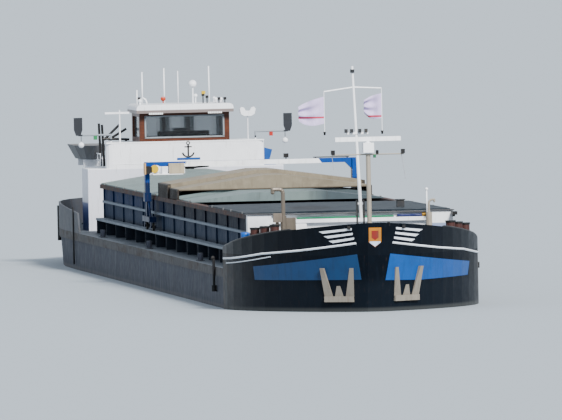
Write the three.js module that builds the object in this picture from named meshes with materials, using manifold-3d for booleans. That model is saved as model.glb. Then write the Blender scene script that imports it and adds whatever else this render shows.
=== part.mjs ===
// River cargo barge at 1:2 scale, with one bay of its hold open and the covers of that bay stacked aft.
// Lengths below are metres of the real ship. SCALE turns them into millimetres of the model.
// +X points to the bow, +Y to port and +Z up. The flat bottom lies at z = 0.
import * as THREE from 'three';
import { mergeVertices } from 'three/addons/utils/BufferGeometryUtils.js';
import Module from 'manifold-3d';

const wasm = await Module();
wasm.setup();

const SCALE = 500;
const SEAT = 0.0006; // running gap between faces that only touch, 0.3 mm on the model
const ROOT = 0.01; // how far a joined rib, rail or post sinks into its plate

// Hull
const HALF_LENGTH = 33.0;
const HALF_BEAM = 4.1;
const SIDE_Y = 4.06;
const DECK_Z = 2.8;
const STRAKE_Z = 2.52;
const FOREDECK_Z = 3.3;
const BILGE_R = 0.35;
const FLOOR_Z = 0.5;

// Hold and coaming
const HOLD_AFT = -17.8;
const HOLD_FORE = 26.2;
const HOLD_Y = 3.1;
const COAMING_Y = 3.18;
const RAIL_Y = 3.34;
const LEDGE_Y = 3.5;
const COAMING_Z = 4.5;
const RAIL_DEPTH = 0.14;
const MID_RAIL_Z = 3.9;
const LEDGE_Z = 3.33;
const LEDGE_T = 0.08;
const BAYS = 14;
const BAY = (HOLD_FORE - HOLD_AFT) / BAYS;
const END_T = 0.08;

// Hatch covers: half width, edge height, half width of the flat ridge, ridge height
const COVER_T = 0.06;
const FLAT_COVER = { halfWidth: 3.3, edge: 4.55, ridgeY: 0.35, ridge: 4.57 };
const LOW_COVER = { halfWidth: 3.2, edge: 4.53, ridgeY: 1.2, ridge: 4.79 };
const HIGH_COVER = { halfWidth: 3.3, edge: 4.54, ridgeY: 0.35, ridge: 4.97 };
const STACK_RIDGE_Y = 0.35;
const COVER_JOINT = 0.02;

// Houses
const HOUSE_FRONT = -20.6;
const HOUSE_ROOF_Z = 4.97;
const DECKHOUSE_AFT = -23.2;
const DECKHOUSE_Y = 2.8;
const DECKHOUSE_Z = 5.86;
const WALL = 0.08;
const ROOF_T = 0.07;
const WHEELHOUSE_Y = 1.585;
const WHEELHOUSE_FRONT = -20.72;
const WHEELHOUSE_Z = 6.87;
const WINDOW_Z = [6.02, 6.75];
const WINDOW_FRONT_Y = 1.375;

// Gantry
const GANTRY_X = -0.9;
const LEG_Y = [3.45, 3.6];
const BEAM_Z = [5.475, 5.625];
const BEAM_X = 0.1;
const WHEEL_X = 0.95;
const WHEEL_R = 0.13;
const WHEEL_Y = [3.41, 3.49];
const FORK_Y = [3.385, 3.515];

// Masts
const MAST_X = 29.3;
const MAST_PIVOT_Z = 4.85;
const MAST_TOP_Z = 9.24;
const MAST_LEAN = 0.17;
const RADAR_X = 31.6;

const paint = (color, roughness, metalness = 0.3) =>
  new THREE.MeshStandardMaterial({ color, roughness, metalness });
const MATERIALS = {
  hull: paint(0x3a3a3e, 0.75),
  white: paint(0xe4e6e8, 0.45, 0.1),
  paleGrey: paint(0xa9adb2, 0.6),
  navy: paint(0x2c3348, 0.65),
  cover: paint(0x8d9a96, 0.6),
  beige: paint(0xb3aa98, 0.7),
  blue: paint(0x2f4f9c, 0.5),
  wood: paint(0x6b4630, 0.6, 0),
  glass: paint(0x9fb2bc, 0.1, 0),
  dark: paint(0x1f2022, 0.7),
  rust: paint(0x6a352b, 0.8),
  rubber: paint(0x242424, 0.9, 0),
  grey: paint(0x8b8f92, 0.7, 0),
  bronze: paint(0xa07c3c, 0.4, 0.9),
  cloth: paint(0xe9e4ea, 0.9, 0),
};

const barge = new THREE.Group();

function piece(name, geometry, material, parent = barge) {
  const mesh = new THREE.Mesh(geometry, material);
  mesh.name = name;
  parent.add(mesh);
  return mesh;
}

// Shapes in ship metres
const mm = (value) => value * SCALE;

function block([x0, x1], [y0, y1], [z0, z1]) {
  const box = new THREE.BoxGeometry(mm(x1 - x0), mm(y1 - y0), mm(z1 - z0));
  return box.translate(mm((x0 + x1) / 2), mm((y0 + y1) / 2), mm((z0 + z1) / 2));
}

function prism(outline, length) {
  const shape = new THREE.Shape(outline.map(([u, v]) => new THREE.Vector2(mm(u), mm(v))));
  return new THREE.ExtrudeGeometry(shape, { depth: mm(length), bevelEnabled: false });
}

const AXES = [new THREE.Vector3(1, 0, 0), new THREE.Vector3(0, 1, 0), new THREE.Vector3(0, 0, 1)];
const alongX = new THREE.Matrix4().makeBasis(AXES[1], AXES[2], AXES[0]);
const alongY = new THREE.Matrix4().makeBasis(AXES[2], AXES[0], AXES[1]);

// A section of [y, z] points run along X, one of [z, x] points along Y, a plan of [x, y] along Z.
const runX = (section, [x0, x1]) => prism(section, x1 - x0).applyMatrix4(alongX).translate(mm(x0), 0, 0);
const runY = (section, [y0, y1]) => prism(section, y1 - y0).applyMatrix4(alongY).translate(0, mm(y0), 0);
const runZ = (plan, [z0, z1]) => prism(plan, z1 - z0).translate(0, 0, mm(z0));

// A round bar between two points.
function bar(from, to, radius, endRadius = radius, sides = 10) {
  const a = new THREE.Vector3(...from).multiplyScalar(SCALE);
  const b = new THREE.Vector3(...to).multiplyScalar(SCALE);
  const geometry = new THREE.CylinderGeometry(mm(endRadius), mm(radius), a.distanceTo(b), sides);
  const turn = new THREE.Quaternion().setFromUnitVectors(AXES[1], b.clone().sub(a).normalize());
  return geometry.applyQuaternion(turn).translate(...a.add(b).multiplyScalar(0.5).toArray());
}

function ball([x, y, z], radius) {
  return new THREE.SphereGeometry(mm(radius), 12, 8).translate(mm(x), mm(y), mm(z));
}

// Booleans
const TOLERANCE = 0.02; // slivers thinner than this, in model millimetres, are merged

function solid(geometry) {
  const bare = geometry.clone();
  bare.deleteAttribute('normal');
  bare.deleteAttribute('uv');
  const merged = mergeVertices(bare, 1e-3);
  return new wasm.Manifold(new wasm.Mesh({
    numProp: 3,
    vertProperties: new Float32Array(merged.attributes.position.array),
    triVerts: new Uint32Array(merged.index.array),
  }));
}

function geometryOf(manifold) {
  const { vertProperties, triVerts } = manifold.simplify(TOLERANCE).getMesh();
  const geometry = new THREE.BufferGeometry();
  geometry.setAttribute('position', new THREE.BufferAttribute(vertProperties, 3));
  geometry.setIndex(new THREE.BufferAttribute(triVerts, 1));
  return geometry;
}

const joined = (...shapes) => shapes.map(solid).reduce((sum, next) => sum.add(next));
const join = (...shapes) => geometryOf(joined(...shapes));
const cut = (shape, ...tools) => geometryOf(solid(shape).subtract(joined(...tools)));

// Lofts: convex rings of points, each ring with as many points, joined and closed at both ends.
function loft(rings) {
  const count = rings[0].length;
  const last = (rings.length - 1) * count;
  const triangles = [];
  for (let ring = 0; ring < last; ring += count) {
    for (let i = 0; i < count; i += 1) {
      const [a, b] = [ring + i, ring + (i + 1) % count];
      triangles.push([a, b, b + count], [a, b + count, a + count]);
    }
  }
  for (let i = 1; i + 1 < count; i += 1) {
    triangles.push([0, i + 1, i], [last, last + i, last + i + 1]);
  }
  const points = rings.flat().map((point) => new THREE.Vector3(...point));
  const volume = triangles.reduce((sum, [a, b, c]) =>
    sum + points[a].dot(points[b].clone().cross(points[c])), 0);
  const outward = volume > 0 ? triangles : triangles.map(([a, b, c]) => [a, c, b]);
  const geometry = new THREE.BufferGeometry();
  geometry.setAttribute('position', new THREE.Float32BufferAttribute(rings.flat(2).map(mm), 3));
  geometry.setIndex(outward.flat());
  return geometry;
}

// Bow plan at the top of the bulwark: a full curve from the shoulder to a narrow flat stem
const STEM_TOP_Z = 4.33;
const BOW_LENGTH = HALF_LENGTH - HOLD_FORE;
const BOW_STEPS = 14;
const BOW_POWERS = [1.95, 1.3];
const STEM_SHARE = 0.988;

// Rake of the bow at a height: z, share of the length, share of the breadth
const BOW_RAKE = [
  [0, 0.72, 0.9], [BILGE_R, 0.8, 0.98], [1.5, 0.93, 1], [FOREDECK_Z, 0.98, 1], [STEM_TOP_Z, 1, 1],
];

function rakeAt(z) {
  const upper = Math.max(1, BOW_RAKE.findIndex(([level]) => level >= z));
  const [z0, length0, breadth0] = BOW_RAKE[upper - 1];
  const [z1, length1, breadth1] = BOW_RAKE[upper];
  const share = (z - z0) / (z1 - z0);
  return [length0 + share * (length1 - length0), breadth0 + share * (breadth1 - breadth0)];
}

// Shares of the bow's length, closer together towards the stem.
const BOW_SHARES = Array.from({ length: BOW_STEPS + 1 },
  (_, step) => STEM_SHARE * Math.sin((step / BOW_STEPS) * Math.PI / 2));

// Half of the bow's outline at a height, from the shoulder to the stem.
function bowLine(z, inset = 0) {
  const [length, breadth] = rakeAt(z);
  return BOW_SHARES.map((share) => {
    const half = HALF_BEAM * (1 - share ** BOW_POWERS[0]) ** (1 / BOW_POWERS[1]);
    const x = HOLD_FORE + (BOW_LENGTH * length / STEM_SHARE - inset) * share;
    return [x, half * breadth - inset * (1 - share / 2)];
  });
}

const mirrored = (line) => [...line, ...line.map(([x, y]) => [x, -y]).reverse()];

// Counter-clockwise seen from above: starboard shoulder, stem, port shoulder.
const bowRing = (z) => mirrored(bowLine(z)).reverse().map(([x, y]) => [x, y, z]);

// Stern plan: a rounded end. The side runs straight for a shorter way the lower it lies.
const STERN_RUN = { bottom: -18.3, slope: -1.2 };
const STERN_FULLNESS = 2.5;
const STERN_STEPS = 8;

function sternLine(z, half, inset = 0) {
  const run = STERN_RUN.bottom + STERN_RUN.slope * z;
  const line = [[HOLD_AFT, half - inset]];
  for (let step = 0; step <= STERN_STEPS; step += 1) {
    const angle = (step / STERN_STEPS) * Math.PI / 2;
    const x = run - (run + HALF_LENGTH - inset) * Math.sin(angle) ** (2 / STERN_FULLNESS);
    line.push([x, (half - inset) * Math.max(Math.cos(angle), 0) ** (2 / STERN_FULLNESS)]);
  }
  return line;
}

// The stern's whole outline, without doubling the point on the centre line.
function sternPlan(z, half, inset = 0) {
  const port = sternLine(z, half, inset);
  port[port.length - 1][1] = 0;
  const starboard = port.slice(0, -1).map(([x, y]) => [x, -y]).reverse();
  return [...port, ...starboard];
}

// Hull: bow, open hold between two wing tanks, and decked stern
const bowHull = joined(loft([0, BILGE_R, 1.5, FOREDECK_Z].map(bowRing)));
piece('hull_bow', geometryOf(bowHull), MATERIALS.hull);

piece('hull_bottom', block([HOLD_AFT, HOLD_FORE], [-HOLD_Y, HOLD_Y], [0, FLOOR_Z]), MATERIALS.hull);

const bilge = [0, 1, 2, 3].map((step) => {
  const angle = (step / 3) * Math.PI / 2;
  return [SIDE_Y - BILGE_R + BILGE_R * Math.sin(angle), BILGE_R - BILGE_R * Math.cos(angle)];
});
const WING_TANK = [
  [HOLD_Y, 0], ...bilge, [SIDE_Y, STRAKE_Z], [HALF_BEAM, STRAKE_Z],
  [HALF_BEAM, DECK_Z], [HOLD_Y, DECK_Z],
];
const BOLLARD_X = [-12.3, 2.3, 17.6];
const BOLLARD_Y = 3.85;
const STERN_BOLLARD = [-29.8, 2.6];

// Two short posts on a foot, fused to the deck.
const POST = { apart: 0.16, height: 0.26, radius: 0.07, head: 0.08 };
const FOOT = { length: 0.3, width: 0.11, sunk: 0.05, height: 0.03 };
function bollard(x, y, deck) {
  const posts = [-POST.apart, POST.apart].map((along) =>
    bar([x + along, y, deck], [x + along, y, deck + POST.height], POST.radius, POST.head, 8));
  return [block([x - FOOT.length, x + FOOT.length], [y - FOOT.width, y + FOOT.width],
    [deck - FOOT.sunk, deck + FOOT.height]), ...posts];
}

for (const [name, side] of [['port', 1], ['starboard', -1]]) {
  const section = WING_TANK.map(([y, z]) => [side * y, z]);
  const tank = runX(side > 0 ? section : section.reverse(), [HOLD_AFT, HOLD_FORE]);
  const bollards = BOLLARD_X.flatMap((x) => bollard(x, side * BOLLARD_Y, DECK_Z));
  piece(`hull_side_${name}`, join(tank, ...bollards), MATERIALS.hull);
}

// Stern profile: z, x of the bottom as it rises to the counter
const COUNTER_Z = 1.45;
const STERN_PROFILE = [
  [0, HOLD_AFT], [0, -25.0], [0.35, -26.6], [1.2, -28.6], [COUNTER_Z, -29.6],
  [COUNTER_Z, -HALF_LENGTH - 1], [DECK_Z, -HALF_LENGTH - 1], [DECK_Z, HOLD_AFT],
];
const SHAFT_Z = 0.72;
const PROPELLER_X = -29.7;
const SKEG_T = 0.12;
const SKEG = [[0.02, -24.5], [0.02, -29.0], [SHAFT_Z + 0.1, -29.2], [1.5, -29.2], [1.5, -24.5]];
const TUBE = { fore: -26, aft: PROPELLER_X + 0.28, radius: 0.14 };
const skeg = runY(SKEG.reverse(), [-SKEG_T, SKEG_T]);
const sternTube = bar([TUBE.fore, 0, SHAFT_Z], [TUBE.aft, 0, SHAFT_Z], TUBE.radius);
const sternBollards = [-1, 1].flatMap((side) => bollard(STERN_BOLLARD[0], side * STERN_BOLLARD[1], DECK_Z));
const sternRing = ([half, z]) => sternPlan(z, half).map(([x, y]) => [x, y, z]);
const sternBody = loft([...bilge, [SIDE_Y, STRAKE_Z]].map(sternRing));
const sternHull = solid(runY(STERN_PROFILE.reverse(), [-HALF_BEAM, HALF_BEAM]))
  .intersect(joined(sternBody, runZ(sternPlan(DECK_Z, HALF_BEAM), [STRAKE_Z - ROOT, DECK_Z])))
  .add(joined(skeg, sternTube, ...sternBollards));
piece('hull_stern', geometryOf(sternHull), MATERIALS.hull);

// Bow bulwark, its top rising from the shoulder to the stem
const BULWARK_T = 0.07;
const SHOULDER_Z = 3.5;
const SHEER_START = 26.7;
const bulwarkTop = (x) => {
  const share = Math.min(1, Math.max(0, (x - SHEER_START) / (HALF_LENGTH - SHEER_START)));
  return SHOULDER_Z + (STEM_TOP_Z - SHOULDER_Z) * share ** 0.8;
};

function bowBulwark() {
  const topLine = bowLine(STEM_TOP_Z);
  const rows = topLine.map(([x], i) => {
    const top = bulwarkTop(x);
    return [
      [...bowLine(FOREDECK_Z)[i], FOREDECK_Z], [...bowLine(top)[i], top],
      [...bowLine(top, BULWARK_T)[i], top], [...bowLine(FOREDECK_Z, BULWARK_T)[i], FOREDECK_Z],
    ];
  });
  const starboard = rows.map((row) => row.map(([x, y, z]) => [x, -y, z])).reverse();
  return loft([...rows, ...starboard]);
}
piece('bow_bulwark', bowBulwark(), MATERIALS.hull);

// Stern bulwark, upright all round, with slanted fore ends and a top that rises aft
const STERN_BULWARK = { fore: 3.5, aft: 3.7, riseTo: -26, slant: 0.5, thickness: 0.06 };
function sternBulwark() {
  const { fore, aft, riseTo, slant, thickness } = STERN_BULWARK;
  const inner = sternPlan(DECK_Z, HALF_BEAM, thickness);
  const rows = sternPlan(DECK_Z, HALF_BEAM).map(([x, y], i) => {
    const top = fore + (aft - fore) * Math.min(1, (HOLD_AFT - x) / (HOLD_AFT - riseTo));
    const back = x === HOLD_AFT ? slant : 0;
    const [innerX, innerY] = inner[i];
    return [[x, y, DECK_Z], [x - back, y, top], [innerX - back, innerY, top], [innerX, innerY, DECK_Z]];
  });
  return loft(rows);
}
piece('stern_bulwark', sternBulwark(), MATERIALS.paleGrey);

// Coaming: a bracketed ledge on the deck, and above it a plate with a top rail, a mid rail and stiffeners
const outboard = (side) => (a, b) => (side > 0 ? [a, b] : [-b, -a]);
const HOLD_RUN = [HOLD_AFT, HOLD_FORE];
const BRACKET_T = 0.06;
const MID_RAIL = { height: 0.08, reach: 0.08 };
const STIFFENER = { width: 0.05, reach: 0.05 };

// Places of the bays' ends along the hold, the outer two drawn in so that they lie on the plate.
const bayEnds = Array.from({ length: BAYS + 1 }, (_, bay) =>
  Math.min(Math.max(HOLD_AFT + bay * BAY, HOLD_AFT + BRACKET_T), HOLD_FORE - BRACKET_T));

function coamingLedge(side) {
  const across = outboard(side);
  const brackets = bayEnds.map((x) => block([x - BRACKET_T / 2, x + BRACKET_T / 2],
    across(COAMING_Y - ROOT, LEDGE_Y - 0.02), [DECK_Z, LEDGE_Z - LEDGE_T + ROOT]));
  return join(
    block(HOLD_RUN, across(HOLD_Y, COAMING_Y), [DECK_Z, LEDGE_Z]),
    block(HOLD_RUN, across(COAMING_Y - ROOT, LEDGE_Y), [LEDGE_Z - LEDGE_T, LEDGE_Z]), ...brackets);
}

function coamingSide(side) {
  const across = outboard(side);
  const ribs = bayEnds.map((x) => block([x - STIFFENER.width / 2, x + STIFFENER.width / 2],
    across(COAMING_Y - ROOT, COAMING_Y + STIFFENER.reach), [LEDGE_Z, COAMING_Z - RAIL_DEPTH + ROOT]));
  return join(
    block(HOLD_RUN, across(HOLD_Y, COAMING_Y), [LEDGE_Z, COAMING_Z]),
    block(HOLD_RUN, across(HOLD_Y, RAIL_Y), [COAMING_Z - RAIL_DEPTH, COAMING_Z]),
    block(HOLD_RUN, across(COAMING_Y - ROOT, COAMING_Y + MID_RAIL.reach),
      [MID_RAIL_Z - MID_RAIL.height / 2, MID_RAIL_Z + MID_RAIL.height / 2]),
    ...ribs);
}
for (const [name, side] of [['port', 1], ['starboard', -1]]) {
  piece(`coaming_ledge_${name}`, coamingLedge(side), MATERIALS.paleGrey);
  piece(`coaming_${name}`, coamingSide(side), MATERIALS.navy);
}

// Ends of the hold. The fore one carries a cabinet at each corner and a beam between them.
const END_FOOT_Z = 2.4;
const CABINET = { y: [2.55, 3.32], z: [3.93, COAMING_Z], depth: 0.4 };
const FRONT_BEAM_Z = [4.2, 4.32];
piece('coaming_front', join(
  block([HOLD_FORE - END_T, HOLD_FORE], [-HOLD_Y, HOLD_Y], [END_FOOT_Z, COAMING_Z]),
  block([HOLD_FORE - ROOT, HOLD_FORE + 0.15], [-CABINET.y[0] - ROOT, CABINET.y[0] + ROOT], FRONT_BEAM_Z),
  ...[1, -1].flatMap((side) => [
    block([HOLD_FORE, HOLD_FORE + CABINET.depth], outboard(side)(...CABINET.y), CABINET.z),
    block([HOLD_FORE - ROOT, HOLD_FORE + 0.28], outboard(side)(CABINET.y[0] + 0.1, HOLD_Y - 0.1),
      [FOREDECK_Z, CABINET.z[1] - 0.1]),
  ])), MATERIALS.white);
piece('coaming_aft', block([HOLD_AFT, HOLD_AFT + END_T], [-HOLD_Y, HOLD_Y], [END_FOOT_Z, COAMING_Z]),
  MATERIALS.navy);

// A gabled section, open below: half width, edge height, half width of the flat ridge, ridge height
function gable({ halfWidth, edge, ridgeY, ridge }, base) {
  const half = [[halfWidth, base], [halfWidth, edge], [ridgeY, ridge]];
  return [...half, ...half.map(([y, z]) => [-y, z]).reverse()];
}

// Hatch covers: gabled boxes closed at their ends and hollow underneath
function hatchCover(form, [aft, fore]) {
  const inner = {
    halfWidth: form.halfWidth - COVER_T, edge: Math.max(form.edge - COVER_T, COAMING_Z + 0.005),
    ridgeY: form.ridgeY, ridge: form.ridge - COVER_T,
  };
  const hollow = runX(gable(inner, COAMING_Z - 0.1), [aft + COVER_T, fore - COVER_T]);
  return cut(runX(gable(form, COAMING_Z), [aft, fore]), hollow);
}

// Along the hold from the bow: fore end, aft end, form. The hold stays open behind the second.
const OPEN_BAY = [9.65, 15.4];
const STACK_X = [0.7, 6.0];
const foreEnd = HOLD_FORE - END_T;
const aftEnd = HOLD_AFT + END_T;
const foreMiddle = (foreEnd + OPEN_BAY[1]) / 2;
const highLength = (STACK_X[0] - aftEnd) / 3;
const COVER_ROWS = [
  [foreEnd, foreMiddle, FLAT_COVER], [foreMiddle, OPEN_BAY[1], FLAT_COVER],
  [OPEN_BAY[0], STACK_X[1], LOW_COVER], [STACK_X[1], STACK_X[0], LOW_COVER],
  ...[0, 1, 2].map((index) =>
    [STACK_X[0] - index * highLength, STACK_X[0] - (index + 1) * highLength, HIGH_COVER]),
];
COVER_ROWS.forEach(([fore, aft, form], index) => {
  piece(`hatch_cover_${index + 1}`, hatchCover(form, [aft + COVER_JOINT / 2, fore - COVER_JOINT / 2]),
    MATERIALS.cover);
});

// The covers lifted off the open bay lie stacked: a low one, and two wide ones that straddle it on skirts.
const LOW_STACK_T = 0.1;
function bentPlate({ halfWidth, edge, ridgeY, ridge }, thickness, [aft, fore]) {
  const over = [[halfWidth, edge], [ridgeY, ridge], [-ridgeY, ridge], [-halfWidth, edge]];
  const under = over.map(([y, z]) => [y, z - thickness]).reverse();
  return runX([...over, ...under], [aft, fore]);
}
piece('stacked_cover_1', bentPlate(
  { ...LOW_COVER, edge: LOW_COVER.edge + SEAT + LOW_STACK_T, ridge: LOW_COVER.ridge + SEAT + LOW_STACK_T },
  LOW_STACK_T, [STACK_X[0] + 0.1, STACK_X[1] - 0.1]), MATERIALS.cover);

const RIB = { reach: 0.015, width: 0.04, apart: 0.35, short: 0.03 };
function skirts([inner, outer], top, [aft, fore]) {
  const count = Math.floor((fore - aft) / RIB.apart);
  return [1, -1].flatMap((side) => {
    const across = outboard(side);
    const ribs = Array.from({ length: count }, (_, index) => aft + (index + 0.5) * (fore - aft) / count)
      .map((x) => block([x - RIB.width / 2, x + RIB.width / 2], across(outer - ROOT, outer + RIB.reach),
        [COAMING_Z, top - RIB.short]));
    return [block([aft, fore], across(inner, outer), [COAMING_Z, top]), ...ribs];
  });
}

const WIDE_COVER = { halfWidth: 3.27, edge: 4.85, ridgeY: STACK_RIDGE_Y, ridge: 5.27 };
const WIDE_SKIRT_Y = [3.22, 3.27];
const WIDE_FOOT_Z = 4.8;
const wideInner = { ...WIDE_COVER, halfWidth: WIDE_SKIRT_Y[0], edge: 4.81, ridge: WIDE_COVER.ridge - COVER_T };
const wideBox = solid(runX(gable(WIDE_COVER, WIDE_FOOT_Z), STACK_X))
  .subtract(solid(runX(gable(wideInner, WIDE_FOOT_Z - 0.1), [STACK_X[0] + COVER_T, STACK_X[1] - COVER_T])));
piece('stacked_cover_2', geometryOf(wideBox.add(joined(...skirts(WIDE_SKIRT_Y, WIDE_COVER.edge, STACK_X)))),
  MATERIALS.beige);

const TOP_COVER_X = [STACK_X[0], 3.6];
const TOP_COVER = { halfWidth: 3.335, edge: 4.96, ridgeY: STACK_RIDGE_Y, ridge: 5.39 };
piece('stacked_cover_3', join(
  bentPlate(TOP_COVER, TOP_COVER.ridge - WIDE_COVER.ridge - 2 * SEAT, TOP_COVER_X),
  ...skirts([3.295, TOP_COVER.halfWidth], TOP_COVER.edge, TOP_COVER_X)), MATERIALS.beige);

// Lower house: a wide fore part and a narrower after part, open at the top under its roof
const HOUSE_AFT = -28.2;
const HOUSE_STEP = -22.6;
const HOUSE_Y = { fore: 3.45, aft: 2.75 };
function housePlan(inset) {
  const [front, step, aft] = [HOUSE_FRONT - inset, HOUSE_STEP + inset, HOUSE_AFT + inset];
  const [wide, narrow] = [HOUSE_Y.fore - inset, HOUSE_Y.aft - inset];
  const half = [[front, wide], [step, wide], [step, narrow], [aft, narrow]];
  return [...half, ...half.map(([x, y]) => [x, -y]).reverse()];
}
const CABIN_DOOR_Y = [0.9, 1.7];
const CABIN_DOOR_Z = [2.95, 4.75];
const houseTop = HOUSE_ROOF_Z - ROOF_T;
piece('lower_house', cut(
  runZ(housePlan(0), [DECK_Z, houseTop]), runZ(housePlan(WALL), [DECK_Z - 0.1, houseTop + 0.1]),
  block([HOUSE_AFT - 0.1, HOUSE_AFT + 0.2], CABIN_DOOR_Y, CABIN_DOOR_Z)), MATERIALS.white);

// Its roof carries the dinghy's cradle.
const DINGHY = { x: -26.3, y: -2.78, keel: 5.2, sheer: 5.7, length: 3.6, halfWidth: 0.6 };
const CRADLE = { apart: 0.9, width: 0.1, inner: -2.1, outer: -3.1 };
piece('lower_house_roof', join(
  runZ(housePlan(0), [houseTop, HOUSE_ROOF_Z]),
  ...[-CRADLE.apart, CRADLE.apart].map((along) => block(
    [DINGHY.x + along - CRADLE.width / 2, DINGHY.x + along + CRADLE.width / 2],
    [CRADLE.outer, CRADLE.inner], [HOUSE_ROOF_Z - ROOT, DINGHY.keel - SEAT])),
), MATERIALS.white);

// A door leaf flush with the wall's after face, on two pins that stand in the frame on its port side
const DOOR_T = 0.06;
const DOOR_GAP = 0.012;
const PIN_R = 0.008;
const inside = ([low, high]) => [low + DOOR_GAP, high - DOOR_GAP];
function doorLeaf(wallAft, across, up) {
  const [x, y] = [wallAft + 0.01, across[1] - DOOR_GAP - PIN_R];
  const pin = bar([x, y, up[0] + SEAT], [x, y, up[1] - SEAT], PIN_R);
  return joined(block([wallAft, wallAft + DOOR_T], inside(across), inside(up)), pin);
}
piece('cabin_door', geometryOf(doorLeaf(HOUSE_AFT, CABIN_DOOR_Y, CABIN_DOOR_Z)), MATERIALS.white);

// Deckhouse: front and side walls around the wheelhouse, open behind it
const CORNER_R = 0.22;
const DECKHOUSE_TAPER = 0.36; // how much narrower each side is at its after end
function deckhouseOutline(inset) {
  const [front, aft] = [HOUSE_FRONT - inset, DECKHOUSE_AFT + inset];
  const [halfWidth, radius] = [DECKHOUSE_Y - inset, CORNER_R - inset];
  const corner = [0, 1, 2, 3].map((step) => {
    const angle = (step / 3) * Math.PI / 2;
    return [front - radius + radius * Math.sin(angle), halfWidth - radius + radius * Math.cos(angle)];
  });
  const half = [[aft, halfWidth - DECKHOUSE_TAPER], ...corner];
  return [...half, ...half.map(([x, y]) => [x, -y]).reverse()].reverse();
}
const deckhouseTop = DECKHOUSE_Z - ROOF_T;
const deckhousePlan = deckhouseOutline(0);
const deckhouseRoom = deckhouseOutline(WALL);
const wheelhouseWell = (z) => block([DECKHOUSE_AFT - 0.1, WHEELHOUSE_FRONT + SEAT],
  [-WHEELHOUSE_Y - SEAT, WHEELHOUSE_Y + SEAT], z);
piece('deckhouse', cut(runZ(deckhousePlan, [HOUSE_ROOF_Z, deckhouseTop]),
  runZ(deckhouseRoom, [HOUSE_ROOF_Z - 0.1, deckhouseTop + 0.1]),
  wheelhouseWell([HOUSE_ROOF_Z - 0.1, deckhouseTop + 0.1])), MATERIALS.white);

// The deckhouse roof carries a saddle aerial on a pole to port, and a lamp bar on a pole to starboard.
const POLE_X = -21.3;
const AERIAL = { y: 2.3, z: 6.84 };
const AERIAL_FORM = [
  [-0.28, 0.1], [-0.22, 0.17], [-0.13, 0.14], [-0.07, 0.03], [0.07, 0.03], [0.13, 0.14], [0.22, 0.17],
  [0.28, 0.1], [0.24, -0.08], [0.12, -0.15], [-0.12, -0.15], [-0.24, -0.08],
].map(([y, z]) => [AERIAL.y + y, AERIAL.z + z]);
const LAMP_BAR = { y: [-2.74, -1.88], z: [6.86, 6.93], pole: -2.22, top: 7.0 };
piece('deckhouse_roof', geometryOf(
  solid(runZ(deckhousePlan, [deckhouseTop, DECKHOUSE_Z]))
    .subtract(solid(wheelhouseWell([deckhouseTop - 0.1, DECKHOUSE_Z + 0.1])))
    .add(joined(
      bar([POLE_X, AERIAL.y, DECKHOUSE_Z - ROOT], [POLE_X, AERIAL.y, AERIAL.z - 0.1], 0.025, 0.02, 8),
      runX(AERIAL_FORM, [POLE_X - 0.1, POLE_X + 0.1]),
      bar([POLE_X, LAMP_BAR.pole, DECKHOUSE_Z - ROOT], [POLE_X, LAMP_BAR.pole, LAMP_BAR.top], 0.03, 0.025, 8),
      block([POLE_X - 0.04, POLE_X + 0.04], LAMP_BAR.y, LAMP_BAR.z)))), MATERIALS.white);

// Wheelhouse: timber walls with a wide front window, side windows and a door aft
const WHEELHOUSE_WALL = 0.07;
const WHEELHOUSE_DOOR_Y = [-0.4, 0.4];
const WHEELHOUSE_DOOR_Z = [5.02, 6.8];
const SIDE_WINDOW_X = [-22.95, -20.95];
const wheelhouseInner = {
  x: [DECKHOUSE_AFT + WHEELHOUSE_WALL, WHEELHOUSE_FRONT - WHEELHOUSE_WALL],
  y: [-WHEELHOUSE_Y + WHEELHOUSE_WALL, WHEELHOUSE_Y - WHEELHOUSE_WALL],
};
const wheelhouseBox = block([DECKHOUSE_AFT, WHEELHOUSE_FRONT], [-WHEELHOUSE_Y, WHEELHOUSE_Y],
  [HOUSE_ROOF_Z, WHEELHOUSE_Z]);
const aftWindows = [[0.6, 1.4], [-1.4, -0.6]].map((across) =>
  block([DECKHOUSE_AFT - 0.1, DECKHOUSE_AFT + 0.2], across, WINDOW_Z));
piece('wheelhouse', cut(wheelhouseBox,
  block(wheelhouseInner.x, wheelhouseInner.y, [HOUSE_ROOF_Z - 0.1, WHEELHOUSE_Z + 0.1]),
  block([WHEELHOUSE_FRONT - 0.2, WHEELHOUSE_FRONT + 0.1], [-WINDOW_FRONT_Y, WINDOW_FRONT_Y], WINDOW_Z),
  block(SIDE_WINDOW_X, [-WHEELHOUSE_Y - 0.1, WHEELHOUSE_Y + 0.1], WINDOW_Z),
  block([DECKHOUSE_AFT - 0.1, DECKHOUSE_AFT + 0.2], WHEELHOUSE_DOOR_Y, WHEELHOUSE_DOOR_Z),
  ...aftWindows), MATERIALS.wood);

// One pane bent around the front and both sides, close inside the walls.
const GLASS_T = 0.016;
const GLASS_Z = [WINDOW_Z[0] - 0.03, WINDOW_Z[1] + 0.03];
const paneOuter = { x: wheelhouseInner.x[1] - SEAT, y: wheelhouseInner.y[1] - SEAT };
const paneAft = SIDE_WINDOW_X[0] - 0.03;
piece('wheelhouse_glass', cut(
  block([paneAft, paneOuter.x], [-paneOuter.y, paneOuter.y], GLASS_Z),
  block([paneAft - 0.1, paneOuter.x - GLASS_T], [-paneOuter.y + GLASS_T, paneOuter.y - GLASS_T],
    [GLASS_Z[0] - 0.1, GLASS_Z[1] + 0.1])), MATERIALS.glass);

const doorWindow = block([DECKHOUSE_AFT - 0.1, DECKHOUSE_AFT + 0.2], [-0.26, 0.26], WINDOW_Z);
const wheelhouseDoor = doorLeaf(DECKHOUSE_AFT, WHEELHOUSE_DOOR_Y, WHEELHOUSE_DOOR_Z)
  .subtract(solid(doorWindow));
piece('wheelhouse_door', geometryOf(wheelhouseDoor), MATERIALS.wood);

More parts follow.
